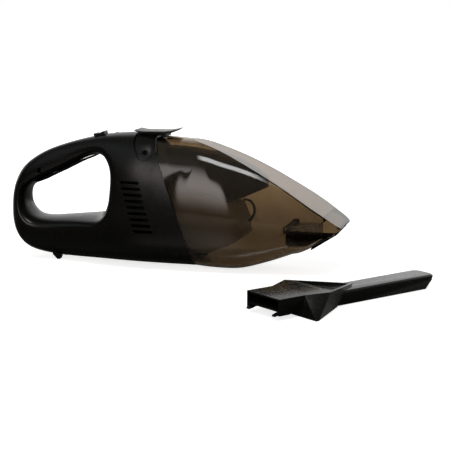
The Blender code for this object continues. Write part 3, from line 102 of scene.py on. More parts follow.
# Dust bowl
BOWL_WALL = 2.2
BOWL_FOOT = [(24.0, 1.6), (36.0, 0.5), (52.0, 0.0), (70.0, 0.9), (87.6, 5.4), (105.0, 11.1),
             (122.0, 17.5), (134.0, 22.2), (142.0, 26.4)]
MOUTH_LOW = (142.0, 26.4)     # lower lip of the slanted mouth
NOSE_TIP = (176.0, 48.6)
CUT_START = (12.0, 132.2)     # where the flat top leaf begins
RIDGES = [(12, 0.5), (27, 13.0), (46, 17.0), (65, 21.8), (95, 27.3), (122, 30.6), (140, 33.2),
          (158, 31.8), (176, 28.5)]
NOSE_CORNER_X = 163.0         # the nose rounds off in plan from here
BOWL_END_X = 158.0            # end of the hollow
NOSE_POWER = 5                # squareness of that rounding, and the root that goes with it
NOSE_ROOT = 0.2
HINGE = (18.0, 2.6)
HINGE_NOTCH = (3.4, 12.0)     # opening in the casing, behind and in front of the hinge line
HINGE_NOTCH_HALF = 9.8
HINGE_NOTCH_Z = (-2.0, 5.6)
HINGE_HALF_WIDTH = 9.0
HINGE_RADIUS = 1.9
HINGE_LEAF = (9.5, -1.1, 0.9)  # how far the hinge's leaf runs forward, and its z span
MOUTH_CUT_X = (138, 180)      # reach of the cut that lets the duct through the mouth
LEVER_NOTCH = ((-40, -11.5, 125), (-10.5, 11.5, 140))
RING_SPREAD = (0.995, 1.35)   # share at which the outer rings end, and how they bunch there
SQUARER = ((125, 150), 4.0)   # x span in which the lower section's power grows by this much
FLAT_NOSE_X = 150             # in front of it the widest line follows the shallow nose
SETTLE = (0.9, 6)             # up to this share, rings are fitted to the seam in so many rounds
LEAST = (0.6, 0.3, 1.0)       # smallest half-width, leaf half-width and height above the foot
RIDGE_INSET = 0.55            # share of the wall by which the leaf's edge moves in
BOWL_SMOOTH = 9.0             # degrees, as above

BOWL_LOW_STEPS = 22           # points of a section below and above the widest line
BOWL_HIGH_STEPS = 30
BOWL_STATIONS = 110

# Inlet duct and its mouth
DUCT_HALF_WIDTH = 23.4
DUCT_LOW = 29.6
DUCT_HIGH = 43.2
DUCT_WALL = 1.4

# Release lever and switch
LEVER_PIVOT = (-27.5, 119.8)
LEVER_HALF_WIDTH = 13.0
SLOPE = math.atan2(3.0, 15.0)  # slope of the casing's top under the switch
KNOB_CENTRE = (-85.4, 132.6)

EAR_REAR = [(-41.6, 142.0), (-41.4, 136.4), (-40.6, 128.0), (-38.6, 123.0)]
EAR_RADIUS = 8.3
PIN_RADIUS = 1.5
LEVER_PLATE = [(-44.5, 140.3), (-44.5, 139.3), (-38.0, 137.4), (-12.5, 137.3), (-3.4, 138.4),
               (2.0, 142.0), (-5.0, 140.2), (-12.0, 139.3), (-34.0, 138.9), (-40.0, 139.3)]
LEVER_HOOK = [(-18.5, 138.2), (-16.0, 133.5), (-12.0, 133.5), (-11.3, 134.2), (-11.3, 138.2)]
HOOK_HALF_WIDTH = 9.6
LEVER_WEB = ((-39.5, -9, 134.6), (-14.5, 9, 138.2))
LEVER_SWING = 5.0             # degrees
SWING_SPARE = 0.5             # degrees more in the pocket than the lever tilts
SADDLE_X = (-47.0, -8.0)
SADDLE_STEPS = (34, 73)       # points along x and round the body
SADDLE_TURN = 62              # degrees from the top down to each of its edges
SADDLE_THICK = 2.2
EAR_ARC = (190, 345, 25)      # degrees of the cheek's round foot, and its number of points
EAR_FRONT_Z = (118.0, 124.0, 130.0, 142.0)
EAR_AHEAD = (-0.9, 7.0)       # front edge against the seam: the cheek's, and its pocket's
PIVOT_RECESS = (28.4, 3.2)    # y where the recess over each pin end begins, and its radius
SLOT_SPAN = (-3.4, 9.4)
SLOT_HALF_WIDTH = 2.1
SLOT_DEPTH = 6.0

# Case screw, indicator lens and charge socket
CASE_SCREW = (-148.5, 94.8)
SCREW_RECESS = (-40.0, -11.0)  # y of the recess: outside the casing, and its floor
SCREW_RECESS_RADIUS = 2.9
LENS = (-66.8, 135.3)
LENS_RADIUS = 2.4
LENS_BORE = (-12.0, 5.0)      # reach of the bore below and above the lens
SOCKET_Z = 36.0
SOCKET_BORE = (-5.0, 8.0)     # reach of the bore behind and in front of the casing's rear
SOCKET_RADIUS = 4.3

# Lips of the mouth, and the bowl's faces: painted shade on its edges, a deeper tint on its nose
RIM_HALF_WIDTH = 26.8
LIP_SPAN = (4.0, 0.62)        # mm up the slant to its start, and share of the slant at its end
LIP_DEPTH = (-2.4, 0.6)       # from this far inside the bowl to this far out of the mouth
LIP_WIDTH = 2.2
LIP_INSET = 0.4               # the lip's outer side, in from the rim's
SEAM_BAND = 0.25              # bowl faces this near the seam or the mouth get painted shade, a dark edge
MOUTH_BAND = 0.5


# ------------------------------ mesh helpers

def to_row(bm):
    """Drawing millimetres to row-frame metres."""
    bmesh.ops.translate(bm, vec=-Vector(ORIGIN), verts=bm.verts)
    bmesh.ops.scale(bm, vec=(MM, MM, MM), verts=bm.verts)
    bmesh.ops.recalc_face_normals(bm, faces=bm.faces)


def add_object(name, data):
    obj = bpy.data.objects.new(name, data)
    bpy.context.scene.collection.objects.link(obj)
    return obj


def make_object(name, bm):
    to_row(bm)
    mesh = bpy.data.meshes.new(name)
    bm.to_mesh(mesh)
    bm.free()
    return add_object(name, mesh)


def boolean(obj, tool_bm, operation="DIFFERENCE"):
    """Cut or join a shape at once and drop the cutter."""
    cutter = make_object("cutter", tool_bm)
    modifier = obj.modifiers.new("cut", "BOOLEAN")
    modifier.operation = operation
    modifier.object = cutter
    bake(obj)
    old = cutter.data
    bpy.data.objects.remove(cutter, do_unlink=True)
    bpy.data.meshes.remove(old)


def bake(obj):
    """Replace the mesh by its evaluated one, without modifiers."""
    graph = bpy.context.evaluated_depsgraph_get()
    mesh = bpy.data.meshes.new_from_object(obj.evaluated_get(graph))
    old = obj.data
    obj.modifiers.clear()
    obj.data = mesh
    mesh.name = obj.name
    bpy.data.meshes.remove(old)


def round_edges(obj, width, segments=2, angle=30.0):
    """Flatten the triangulation into whole faces, then round the sharp edges."""
    bm = bmesh.new()
    bm.from_mesh(obj.data)
    bmesh.ops.remove_doubles(bm, verts=bm.verts, dist=MERGE_DISTANCE)
    bmesh.ops.dissolve_limit(bm, angle_limit=math.radians(FLAT_ANGLE), verts=bm.verts,
                             edges=bm.edges)
    bm.to_mesh(obj.data)
    bm.free()
    bevel = obj.modifiers.new("round", "BEVEL")
    bevel.width = width * MM
    bevel.segments = segments
    bevel.limit_method = "ANGLE"
    bevel.angle_limit = math.radians(angle)
    bake(obj)


def dress(obj, material, body, replaced, smooth_angle=35.0):
    """Give a piece its material and shading, and hand it to its CAD body."""
    obj.data.materials.clear()
    obj.data.materials.append(material)
    obj.data.shade_smooth()
    obj.data.set_sharp_from_angle(angle=math.radians(smooth_angle))
    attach(obj, body)
    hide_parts(*replaced)


def softened(node, name, width, material, body, slot_name, segments):
    """A CAD node's shape with rounded edges, standing for that node."""
    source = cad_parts[node]
    obj = add_object(name, source.data.copy())
    obj.data.transform(source.matrix_world)
    round_edges(obj, width, segments)
    dress(obj, material, body, [node])


# ------------------------------ basic shapes

def box_bm(low, high):
    bm = bmesh.new()
    bmesh.ops.create_cube(bm, size=1.0)
    low, high = Vector(low), Vector(high)
    size = high - low
    bmesh.ops.scale(bm, vec=size, verts=bm.verts)
    bmesh.ops.translate(bm, vec=(low + high) / 2, verts=bm.verts)
    return bm


def turned(bm, axis):
    """Turn a shape drawn along Z to run along the given direction."""
    turn = Vector(axis).to_track_quat("Z", "Y").to_matrix().to_4x4()
    bmesh.ops.transform(bm, matrix=turn, verts=bm.verts)
    return bm


def rod_bm(start, end, radius, segments=32):
    start, end = Vector(start), Vector(end)
    bm = bmesh.new()
    bmesh.ops.create_cone(bm, cap_ends=True, segments=segments, radius1=radius, radius2=radius,
                          depth=(end - start).length)
    turned(bm, end - start)
    bmesh.ops.translate(bm, vec=(start + end) / 2, verts=bm.verts)
    return bm


def prism_bm(outline, low, high):
    """Extrude an outline of (x, z) points along Y from low to high."""
    bm = bmesh.new()
    face = bm.faces.new([bm.verts.new((x, low, z)) for x, z in outline])
    grown = bmesh.ops.extrude_face_region(bm, geom=[face])["geom"]
    moved = [part for part in grown if isinstance(part, bmesh.types.BMVert)]
    bmesh.ops.translate(bm, vec=(0, high - low, 0), verts=moved)
    return bm


def hull_bm(points):
    bm = bmesh.new()
    for point in points:
        bm.verts.new(point)
    bmesh.ops.convex_hull(bm, input=bm.verts)
    bmesh.ops.dissolve_limit(bm, angle_limit=0.01, verts=bm.verts, edges=bm.edges)
    return bm


def joined(*shapes):
    """One bmesh that holds several closed shapes, for a cutter."""
    total = bmesh.new()
    for shape in shapes:
        mesh = bpy.data.meshes.new("piece")
        shape.to_mesh(mesh)
        shape.free()
        total.from_mesh(mesh)
        bpy.data.meshes.remove(mesh)
    return total


# ------------------------------ curves and sections

def smooth_curve(points, count):
    """Natural cubic spline through the points, evenly spaced by chord length."""
    p = np.array(points, float)
    t = np.concatenate([[0], np.cumsum(np.linalg.norm(np.diff(p, axis=0), axis=1))])
    size = len(t)
    h = np.diff(t)
    matrix = np.eye(size)
    right = np.zeros_like(p)
    for i in range(1, size - 1):
        matrix[i, i - 1:i + 2] = (h[i - 1], 2 * (h[i - 1] + h[i]), h[i])
        right[i] = 6 * ((p[i + 1] - p[i]) / h[i] - (p[i] - p[i - 1]) / h[i - 1])
    bend = np.linalg.solve(matrix, right)
    s = np.linspace(0, t[-1], count)
    i = np.clip(np.searchsorted(t, s, side="right") - 1, 0, size - 2)
    a, b, w = (t[i + 1] - s)[:, None], (s - t[i])[:, None], h[i][:, None]
    return (bend[i] * a ** 3 + bend[i + 1] * b ** 3) / (6 * w) + \
        (p[i] / w - bend[i] * w / 6) * a + (p[i + 1] / w - bend[i + 1] * w / 6) * b


def smooth_loop(points, count):
    """Closed spline: the ends are run on past each other, then trimmed."""
    extra = 3
    size = len(points)
    long = points[-extra:] + points + points[:extra]
    p = np.array(long, float)
    t = np.concatenate([[0], np.cumsum(np.linalg.norm(np.diff(p, axis=0), axis=1))])
    dense = smooth_curve(long, LOOP_FINE)
    s = np.linspace(0, t[-1], LOOP_FINE)
    wanted = np.linspace(t[extra], t[extra + size], count, endpoint=False)
    return np.stack([np.interp(wanted, s, dense[:, k]) for k in (0, 1)], axis=1)


OUTLINE_FINE = smooth_curve(OUTLINE, 1200)
REAR_INDEX = int(np.argmin(OUTLINE_FINE[:, 0]))
LOOP_FINE = 4000              # points of a closed spline before it is trimmed
HOLE_FINE = smooth_loop(HOLE, 400)
SEAM_FINE = smooth_curve(SEAM, 200)
FOOT_FINE = smooth_curve(BOWL_FOOT, 300)
RIDGE_FINE = smooth_curve(RIDGES, 300)
WIDTH_FINE = smooth_curve(WIDTHS, 300)


def casing_top(x):
    """Height of the top line: the casing's, then the bowl's before its top is cut flat."""
    if x > SEAM_TOP[0]:
        return bowl_top(x)
    line = OUTLINE_FINE[:REAR_INDEX + 1][::-1]
    return float(np.interp(x, line[:, 0], line[:, 1]))


def casing_foot(x):
    line = OUTLINE_FINE[REAR_INDEX:]
    return float(np.interp(x, line[:, 0], line[:, 1]))


def body_width(x):
    """Half-width at the widest line, casing and bowl alike."""
    width = float(np.interp(x, WIDTH_FINE[:, 0], WIDTH_FINE[:, 1]))
    corner = max(x - NOSE_CORNER_X, 0) / (NOSE_TIP[0] + NOSE_MARGIN[0] - NOSE_CORNER_X)
    rear = float(rounded(x - REAR_X, REAR_ROUND))
    return width * rear * (1 - min(corner, 1) ** NOSE_POWER) ** NOSE_ROOT


def cut_z(x):
    """Height of the flat top leaf, which falls away to the nose."""
    share = max(x - CUT_START[0], 0) / (NOSE_TIP[0] - CUT_START[0])
    return CUT_START[1] - (CUT_START[1] - NOSE_TIP[1] - NOSE_MARGIN[1]) * share ** LEAF_POWER


def ridge_half_width(x):
    ridge = float(np.interp(x, RIDGE_FINE[:, 0], RIDGE_FINE[:, 1]))
    return min(ridge, LEAF_SHARE * body_width(x))


def bowl_top(x):
    """Top of the full egg section, so that it meets the leaf at the leaf's edge."""
    if x < CUT_START[0]:
        share = (x - SEAM_TOP[0]) / (CUT_START[0] - SEAM_TOP[0])
        return SEAM_TOP[1] + share * (CUT_START[1] - SEAM_TOP[1])
    part = (1 - (ridge_half_width(x) / body_width(x)) ** UPPER_POWER) ** (1 / UPPER_POWER)
    return WIDEST_Z + (cut_z(x) - WIDEST_Z) / part


def bowl_foot(x):
    """Underside line of the bowl, with the straight slant of the mouth in front."""
    if x > MOUTH_LOW[0]:
        share = (x - MOUTH_LOW[0]) / (NOSE_TIP[0] - MOUTH_LOW[0])
        return MOUTH_LOW[1] + share * (NOSE_TIP[1] - MOUTH_LOW[1])
    return float(np.interp(x, FOOT_FINE[:, 0], FOOT_FINE[:, 1]))


def widest_z(x):
    return np.interp(x, (REAR_X, WIDEST_REAR[0]), (WIDEST_REAR[1], WIDEST_Z))


def rounded(distance, radius):
    """Height of a quarter ellipse, from 0 at its edge to 1 at its radius."""
    t = np.clip(distance / radius, 0, 1)
    return np.sqrt(np.clip(1 - (1 - t) ** 2, 0, 1))


def section(z, low, middle, high, upper=UPPER_POWER, lower=LOWER_POWER):
    """Half-width, as a share of the widest, of an egg-shaped section at height z."""
    if z >= middle:
        t, power = (z - middle) / (high - middle), upper
    else:
        t, power = (middle - z) / (middle - low), lower
    return (1 - min(max(t, 0.0), 1.0) ** power) ** (1 / power)


def hole_distance(x, z):
    return float(np.min(np.hypot(HOLE_FINE[:, 0] - x, HOLE_FINE[:, 1] - z)))


def casing_half_width(x, z):
    width = body_width(x) * section(z, casing_foot(x), float(widest_z(x)), casing_top(x))
    return width * float(rounded(hole_distance(x, z), HOLE_ROUND))


def seam_x(z):
    return float(np.interp(-z, -SEAM_FINE[:, 1], SEAM_FINE[:, 0]))


def spread(line, steps):
    """Points along a fine line, spaced by the given number of equal steps."""
    lengths = np.concatenate([[0], np.cumsum(np.linalg.norm(np.diff(line, axis=0), axis=1))])
    wanted = np.linspace(0, lengths[-1], steps + 1)
    return np.stack([np.interp(wanted, lengths, line[:, k]) for k in (0, 1)], axis=1)


def hole_line():
    return spread(np.vstack([HOLE_FINE, HOLE_FINE[:1]]), HOLE_STEPS)[:-1]


def inward_normals(points, closed):
    ahead = np.roll(points, -1, axis=0) - points
    behind = points - np.roll(points, 1, axis=0)
    if not closed:
        ahead[-1] = behind[-1]
        behind[0] = ahead[0]
    along = ahead + behind
    along /= np.linalg.norm(along, axis=1)[:, None]
    return np.stack([-along[:, 1], along[:, 0]], axis=1)


def inside(point, polygon):
    x, z = point
    a, b = polygon, np.roll(polygon, -1, axis=0)
    crosses = (a[:, 1] > z) != (b[:, 1] > z)
    rise = np.where(b[:, 1] == a[:, 1], 1e-9, b[:, 1] - a[:, 1])
    at = a[:, 0] + (z - a[:, 1]) / rise * (b[:, 0] - a[:, 0])
    return bool(np.count_nonzero(crosses & (x < at)) % 2)


def surface_normal(x, z, width_at):
    step = SURFACE_STEP
    slope_x = (width_at(x + step, z) - width_at(x - step, z)) / (2 * step)
    slope_z = (width_at(x, z + step) - width_at(x, z - step)) / (2 * step)
    return Vector((-slope_x, 1.0, -slope_z)).normalized()


def casing_layout():
    """Plan of one casing half: rim and hole loops, rings beside them, and a middle grid."""
    rim = spread(OUTLINE_FINE, RIM_STEPS)
    hole = hole_line()
    edge = bowl_ring(0.0, 0.0)[1:BOWL_LOW_STEPS + BOWL_HIGH_STEPS]
    seam = np.array([(seam_x(z), z) for _, _, z in edge])
    border = np.vstack([rim, seam])
    flat = {}
    points = [tuple(p) for p in border] + [tuple(p) for p in hole]
    rim_in = inward_normals(rim, False)
    hole_in = -inward_normals(hole, True)
    if not inside(rim[5] + rim_in[5], border):
        rim_in = -rim_in
    if inside(hole[0] + hole_in[0], hole):
        hole_in = -hole_in
    for i in range(len(rim)):
        flat[i] = Vector((-rim_in[i][0], 0, -rim_in[i][1]))
    for i in range(len(hole)):
        flat[len(border) + i] = Vector((-hole_in[i][0], 0, -hole_in[i][1]))

    placed = np.zeros((MOST_POINTS, 2))
    placed[:len(points)] = points

    def add(point, clear):
        count = len(points)
        near = np.min(np.hypot(*(placed[:count] - point).T))
        if near < clear or not inside(point, border) or inside(point, hole):
            return
        if seam_x(point[1]) - point[0] < clear * SEAM_CLEAR:
            return
        placed[count] = point
        points.append(tuple(point))

    for ring in range(1, EDGE_RINGS + 1):
        share = (ring / EDGE_RINGS) ** 2
        for i in range(len(hole)):
            add(hole[i] + hole_in[i] * share * HOLE_ROUND,
                min(share * HOLE_ROUND, GRID_SPACING) * RING_CLEAR)
        for i in range(1, len(rim) - 1):
            room = float(np.interp(rim[i][0], *RIM_ROOM))
            add(rim[i] + rim_in[i] * share * room, min(share * room, GRID_SPACING) * RING_CLEAR)
    across = np.arange(REAR_X + GRID_SPACING, GRID_END[0], GRID_SPACING * COLUMN_SHARE)
    for column, x in enumerate(across):
        shift = GRID_SPACING * (0.5 + 0.5 * (column % 2))
        for z in np.arange(shift, GRID_END[1], GRID_SPACING):
            add(np.array((x, z)), GRID_SPACING * GRID_CLEAR)
    return points, border, hole, flat, len(rim)


def casing_shell(side):
    """Closed shell of one half: side is -1 for the near half and +1 for the far half."""
    points, border, hole, flat, rim_count = casing_layout()
    edges = [(i, (i + 1) % len(border)) for i in range(len(border))]
    first = len(border)
    edges += [(first + i, first + (i + 1) % len(hole)) for i in range(len(hole))]
    plan = [Vector(p) for p in points]
    vertices, _, faces, source, _, _ = delaunay_2d_cdt(plan, edges, [], 0, 1e-5)
    origin = [source[i][0] for i in range(len(vertices))]
    bm = bmesh.new()
    outer, inner = [], []
    for i, plan_point in enumerate(vertices):
        x, z = plan_point
        index = origin[i]
        if index in flat:
            normal, y = flat[index], 0.0
        else:
            y = casing_half_width(x, z)
            normal = surface_normal(x, z, casing_half_width)
        if rim_count <= index < len(border):
            normal = Vector((0, normal.y, normal.z)).normalized()
        base = Vector((x, y, z))
        depth = base - normal * WALL
        depth.y = max(depth.y, 0.0)
        outer.append(bm.verts.new((base.x, side * (base.y + HALF_GAP), base.z)))
        inner.append(bm.verts.new((depth.x, side * (depth.y + HALF_GAP), depth.z)))
    for face in faces:
        centre = sum((Vector(vertices[i]) for i in face), Vector((0, 0))) / len(face)
        if not inside(centre, border) or inside(centre, hole):
            continue
        bm.faces.new([outer[i] for i in face])
        bm.faces.new([inner[i] for i in reversed(face)])
    place = {origin[i]: i for i in range(len(vertices))}
    for a, b in edges:
        a, b = place[a], place[b]
        bm.faces.new((outer[a], outer[b], inner[b], inner[a]))
    return bm


def ear_outline(pocket=False):
    """Side view of the lever's cheek, or of the pocket it tilts in."""
    px, pz = LEVER_PIVOT
    radius = EAR_RADIUS + (2 * GAP if pocket else 0)
    arc = [(px + radius * math.cos(a), pz + radius * math.sin(a))
           for a in np.linspace(math.radians(EAR_ARC[0]), math.radians(EAR_ARC[1]), EAR_ARC[2])]
    tilt = math.radians(LEVER_SWING + SWING_SPARE) if pocket else 0.0
    clear = GAP if pocket else 0.0
    rear = [(x - (z - pz) * tilt - clear, z + (x - px) * tilt) for x, z in EAR_REAR]
    ahead = EAR_AHEAD[pocket]
    front = [(seam_x(z) + ahead, z) for z in EAR_FRONT_Z]
    return rear + arc + front


def sloped(bm):
    """Place a shape drawn on a level top onto the sloping casing top under the switch."""
    turn = Matrix.Rotation(-SLOPE, 4, "Y")
    place = Matrix.Translation((KNOB_CENTRE[0], 0, KNOB_CENTRE[1])) @ turn
    bmesh.ops.transform(bm, matrix=place, verts=bm.verts)
    return bm


def bridge_layers(bm, outer, inner):
    """Close two grids of vertices of one size into a thick sheet."""
    rows, columns = len(outer), len(outer[0])
    for i in range(rows - 1):
        for j in range(columns - 1):
            for grid in (outer, inner):
                bm.faces.new((grid[i][j], grid[i + 1][j], grid[i + 1][j + 1], grid[i][j + 1]))
    ring = [(i, 0) for i in range(rows)] + [(rows - 1, j) for j in range(1, columns)]
    ring += [(i, columns - 1) for i in range(rows - 2, -1, -1)]
    ring += [(0, j) for j in range(columns - 2, 0, -1)]
    for (a, b), (c, d) in zip(ring, ring[1:] + ring[:1]):
        bm.faces.new((outer[a][b], outer[c][d], inner[c][d], inner[a][b]))


def saddle_bm():
    """Strip of the body's skin over its top, in front of the handle, as a closed shell."""
    along, around = SADDLE_STEPS
    turns = np.linspace(-1, 1, around)
    rows = np.linspace(*SADDLE_X, along)
    bm = bmesh.new()
    layers = []
    for inset in (0.0, SADDLE_THICK):
        grid = []
        for x in rows:
            width, top = body_width(x) - inset, casing_top(x) - inset
            line = []
            for turn in turns:
                angle = math.radians(90 - SADDLE_TURN * turn)
                out = abs(math.cos(angle)) ** (2 / UPPER_POWER)
                y = width * math.copysign(out, math.cos(angle))
                z = WIDEST_Z + (top - WIDEST_Z) * math.sin(angle) ** (2 / UPPER_POWER)
                line.append(bm.verts.new((x, y, z)))
            grid.append(line)
        layers.append(grid)
    bridge_layers(bm, *layers)
    return bm


def bowl_ring(share, inset, end_x=None):
    """One ring of the bowl, from its foot up the near side, over the leaf and down again."""
    low_steps, high_steps = BOWL_LOW_STEPS, BOWL_HIGH_STEPS
    middle = seam_x(WIDEST_Z)
    end = NOSE_TIP[0] if end_x is None else end_x
    station = middle + (end - middle) * share
    half = []
    for k in range(low_steps + high_steps + 2):
        x = station
        for _ in range(SETTLE[1] if share < SETTLE[0] else 1):
            width = max(body_width(x) - inset, LEAST[0])
            foot = bowl_foot(x) + inset
            top = bowl_top(x) - inset
            leaf = cut_z(x) - inset if x > CUT_START[0] else top
            power = LOWER_POWER + SQUARER[1] * float(np.interp(x, SQUARER[0], (0, 1)))
            ridge = max(ridge_half_width(x) - inset * RIDGE_INSET, LEAST[1])
            limit = math.acos(min((ridge / width), 1.0) ** (UPPER_POWER / 2))
            middle_z = max(WIDEST_Z, foot + LEAST[2])
            if x > FLAT_NOSE_X:
                middle_z = min(middle_z, (foot + leaf) / 2 + 2)
            if k < low_steps:
                angle = math.pi / 2 * (1 - k / low_steps)
                y = width * math.cos(angle) ** (2 / power)
                z = middle_z - (middle_z - foot) * math.sin(angle) ** (2 / power)
            elif k <= low_steps + high_steps:
                angle = limit * (k - low_steps) / high_steps
                y = width * math.cos(angle) ** (2 / UPPER_POWER)
                full_rise = max(math.sin(limit), 1e-6) ** (2 / UPPER_POWER)
                rise = math.sin(angle) ** (2 / UPPER_POWER) / full_rise
                z = middle_z + (leaf - middle_z) * rise
            else:
                y, z = 0.0, leaf
            x = station + (seam_x(z) + GAP - middle) * (1 - share) ** 2
        half.append((x, y, z))
    half[0] = (half[0][0], 0.0, half[0][2])
    return [(x, -y, z) for x, y, z in half] + half[-2:0:-1]


def bowl_shell_bm():
    last, bunching = RING_SPREAD
    outer_shares = [last * (1 - (1 - t) ** bunching) for t in np.linspace(0, 1, BOWL_STATIONS)]
    inner_shares = np.linspace(0, 1, BOWL_STATIONS // 2)
    bm = bmesh.new()
    outer = [[bm.verts.new(p) for p in bowl_ring(s, 0.0)] for s in outer_shares]
    inner = [[bm.verts.new(p) for p in bowl_ring(s, BOWL_WALL, BOWL_END_X)] for s in inner_shares]
    for grid in (outer, inner):
        for a, b in zip(grid, grid[1:]):
            for i in range(len(a)):
                j = (i + 1) % len(a)
                bm.faces.new((a[i], a[j], b[j], b[i]))
        bm.faces.new(grid[-1])
    for i in range(len(outer[0])):
        j = (i + 1) % len(outer[0])
        bm.faces.new((outer[0][i], outer[0][j], inner[0][j], inner[0][i]))
    return bm


# ------------------------------ materials

def shader_of(name):
    material = bpy.data.materials.new(name)
    material.use_nodes = True
    return material, material.node_tree.nodes["Principled BSDF"]


def feed(node, socket, value):
    """Link a value into one input of a node."""
    node.id_data.links.new(value, node.inputs[socket])


def noise(material, scale, detail=2.0, stretch=(1.0, 1.0, 1.0)):
    """Noise over object coordinates; scale is features per metre."""
    nodes = material.node_tree.nodes
    place = nodes.new("ShaderNodeTexCoord")
    mapping = nodes.new("ShaderNodeMapping")
    mapping.inputs["Scale"].default_value = stretch
    texture = nodes.new("ShaderNodeTexNoise")
    texture.inputs["Scale"].default_value = scale
    texture.inputs["Detail"].default_value = detail
    feed(mapping, "Vector", place.outputs["Object"])
    feed(texture, "Vector", mapping.outputs["Vector"])
    return texture.outputs["Fac"]


NOISE_RANGE = (0.3, 0.7)      # noise seldom leaves it, so it is what gets mapped
LIGHTER = 1.22                # brighter and darker shades of a plastic's colour
DARKER = 0.86


def ranged(tree, value, from_min, from_max, to_min, to_max, step="SMOOTHSTEP"):
    """Map a value from one range to another, along a smooth step unless told otherwise."""
    node = tree.nodes.new("ShaderNodeMapRange")
    node.interpolation_type = step
    node.inputs["From Min"].default_value = from_min
    node.inputs["From Max"].default_value = from_max
    node.inputs["To Min"].default_value = to_min
    node.inputs["To Max"].default_value = to_max
    feed(node, "Value", value)
    return node.outputs["Result"]


def spread_value(material, value, low, high):
    """Map noise evenly on to a range of values."""
    return ranged(material.node_tree, value, *NOISE_RANGE, low, high, "LINEAR")


def two_colours(material, value, first, second):
    ramp = material.node_tree.nodes.new("ShaderNodeValToRGB")
    ramp.color_ramp.elements[0].position = NOISE_RANGE[0]
    ramp.color_ramp.elements[0].color = (*first, 1.0)
    ramp.color_ramp.elements[1].position = NOISE_RANGE[1]
    ramp.color_ramp.elements[1].color = (*second, 1.0)
    feed(ramp, "Fac", value)
    return ramp.outputs["Color"]


def bump(material, height, strength, distance):
    node = material.node_tree.nodes.new("ShaderNodeBump")
    node.inputs["Strength"].default_value = strength
    node.inputs["Distance"].default_value = distance
    feed(node, "Height", height)
    return node.outputs["Normal"]


def plastic(name, colour, roughness, specular=0.5, grain=0.12, grain_scale=1800.0):
    """Moulded plastic: a fine grain, faint flow marks and uneven gloss."""
    material, shader = shader_of(name)
    shader.inputs["Specular IOR Level"].default_value = specular
    broad = noise(material, 22.0, 3.0)
    lighter = tuple(min(1.0, c * LIGHTER + 0.0008) for c in colour)
    darker = tuple(c * DARKER for c in colour)
    feed(shader, "Base Color", two_colours(material, broad, darker, lighter))
    gloss = noise(material, 160.0, 4.0)
    feed(shader, "Roughness", spread_value(material, gloss, roughness - 0.03, roughness + 0.04))
    feed(shader, "Normal", bump(material, noise(material, grain_scale), grain, 0.00005))
    return material


def metal(name, colour, roughness, stretch=(1.0, 1.0, 1.0)):
    """Metal with fine drawn lines along one direction."""
    material, shader = shader_of(name)
    shader.inputs["Metallic"].default_value = 1.0
    lines = noise(material, 900.0, 3.0, stretch)
    darker = tuple(c * 0.8 for c in colour)
    feed(shader, "Base Color", two_colours(material, lines, darker, colour))
    feed(shader, "Roughness", spread_value(material, lines, roughness - 0.06, roughness + 0.08))
    feed(shader, "Normal", bump(material, lines, 0.15, 0.00004))
    return material


def smoked(name, layers=1):
    """Smoked plastic, polished, with the faintest moulding waves; more layers, deeper tint."""
    material, shader = shader_of(name)
    shader.inputs["Transmission Weight"].default_value = 1.0
    shader.inputs["IOR"].default_value = SMOKE_IOR
    haze = noise(material, 30.0, 2.0)
    dark = tuple(c ** layers for c in SMOKE_DARK)
    light = tuple(c ** layers for c in SMOKE_LIGHT)
    feed(shader, "Base Color", two_colours(material, haze, dark, light))
    feed(shader, "Roughness", spread_value(material, noise(material, 220.0, 3.0), 0.0, 0.03))
    feed(shader, "Normal", bump(material, noise(material, 26.0, 1.0), 0.05, 0.0004))
    return material


def cloth_material(name, colour):
    """Non-woven filter cloth: a felt of crossing fibres."""
    material, shader = shader_of(name)
    shader.inputs["Sheen Weight"].default_value = 0.25
    shader.inputs["Sheen Roughness"].default_value = 0.6
    shader.inputs["Roughness"].default_value = 0.95
    fibre = noise(material, 1400.0, 6.0, (1.0, 0.35, 1.0))
    darker = tuple(c * 0.72 for c in colour)
    feed(shader, "Base Color", two_colours(material, fibre, darker, colour))
    feed(shader, "Normal", bump(material, fibre, 0.6, 0.0003))
    return material


def board_material(name):
    """Circuit board: green lacquer over faint square tracks."""
    material, shader = shader_of(name)
    nodes = material.node_tree.nodes
    place = nodes.new("ShaderNodeTexCoord")
    bricks = nodes.new("ShaderNodeTexBrick")
    bricks.inputs["Scale"].default_value = 260.0
    bricks.inputs["Color1"].default_value = (0.010, 0.090, 0.035, 1.0)
    bricks.inputs["Color2"].default_value = (0.014, 0.120, 0.048, 1.0)
    bricks.inputs["Mortar"].default_value = (0.12, 0.30, 0.12, 1.0)
    feed(bricks, "Vector", place.outputs["Object"])
    feed(shader, "Base Color", bricks.outputs["Color"])
    shader.inputs["Roughness"].default_value = 0.35
    return material


SMOKE_IOR = 1.45
SMOKE_DARK = (0.318, 0.249, 0.169)
SMOKE_LIGHT = (0.338, 0.268, 0.184)

SHELL = plastic("satin_shell", (0.0062, 0.0062, 0.0054), 0.24, 0.30, 0.08)
TRIM = plastic("satin_trim", (0.0050, 0.0052, 0.0050), 0.30, 0.40, 0.12)
NOZZLE = plastic("nozzle_plastic", (0.0060, 0.0062, 0.0052), 0.26, 0.55, 0.12)
DUCT = plastic("duct_plastic", (0.016, 0.014, 0.011), 0.25, 0.3, 0.10)
BLACK = plastic("inner_plastic", (0.012, 0.012, 0.012), 0.45, 0.3, 0.16)
FILTER = plastic("filter_plastic", (0.012, 0.011, 0.010), 0.5, 0.3, 0.16)
WHITE = plastic("nylon", (0.62, 0.60, 0.54), 0.45, 0.4, 0.12)
RUBBER = plastic("soft_rubber", (0.009, 0.009, 0.009), 0.72, 0.2, 0.3, 2600.0)
CELL = plastic("cell_wrap", (0.03, 0.20, 0.10), 0.3, 0.5, 0.05)
LENS_RED = plastic("lens_red", (0.035, 0.004, 0.003), 0.12, 0.5, 0.02)
RED = plastic("red_sheath", (0.42, 0.02, 0.02), 0.4, 0.4, 0.08)
SMOKE = smoked("smoked_clear")
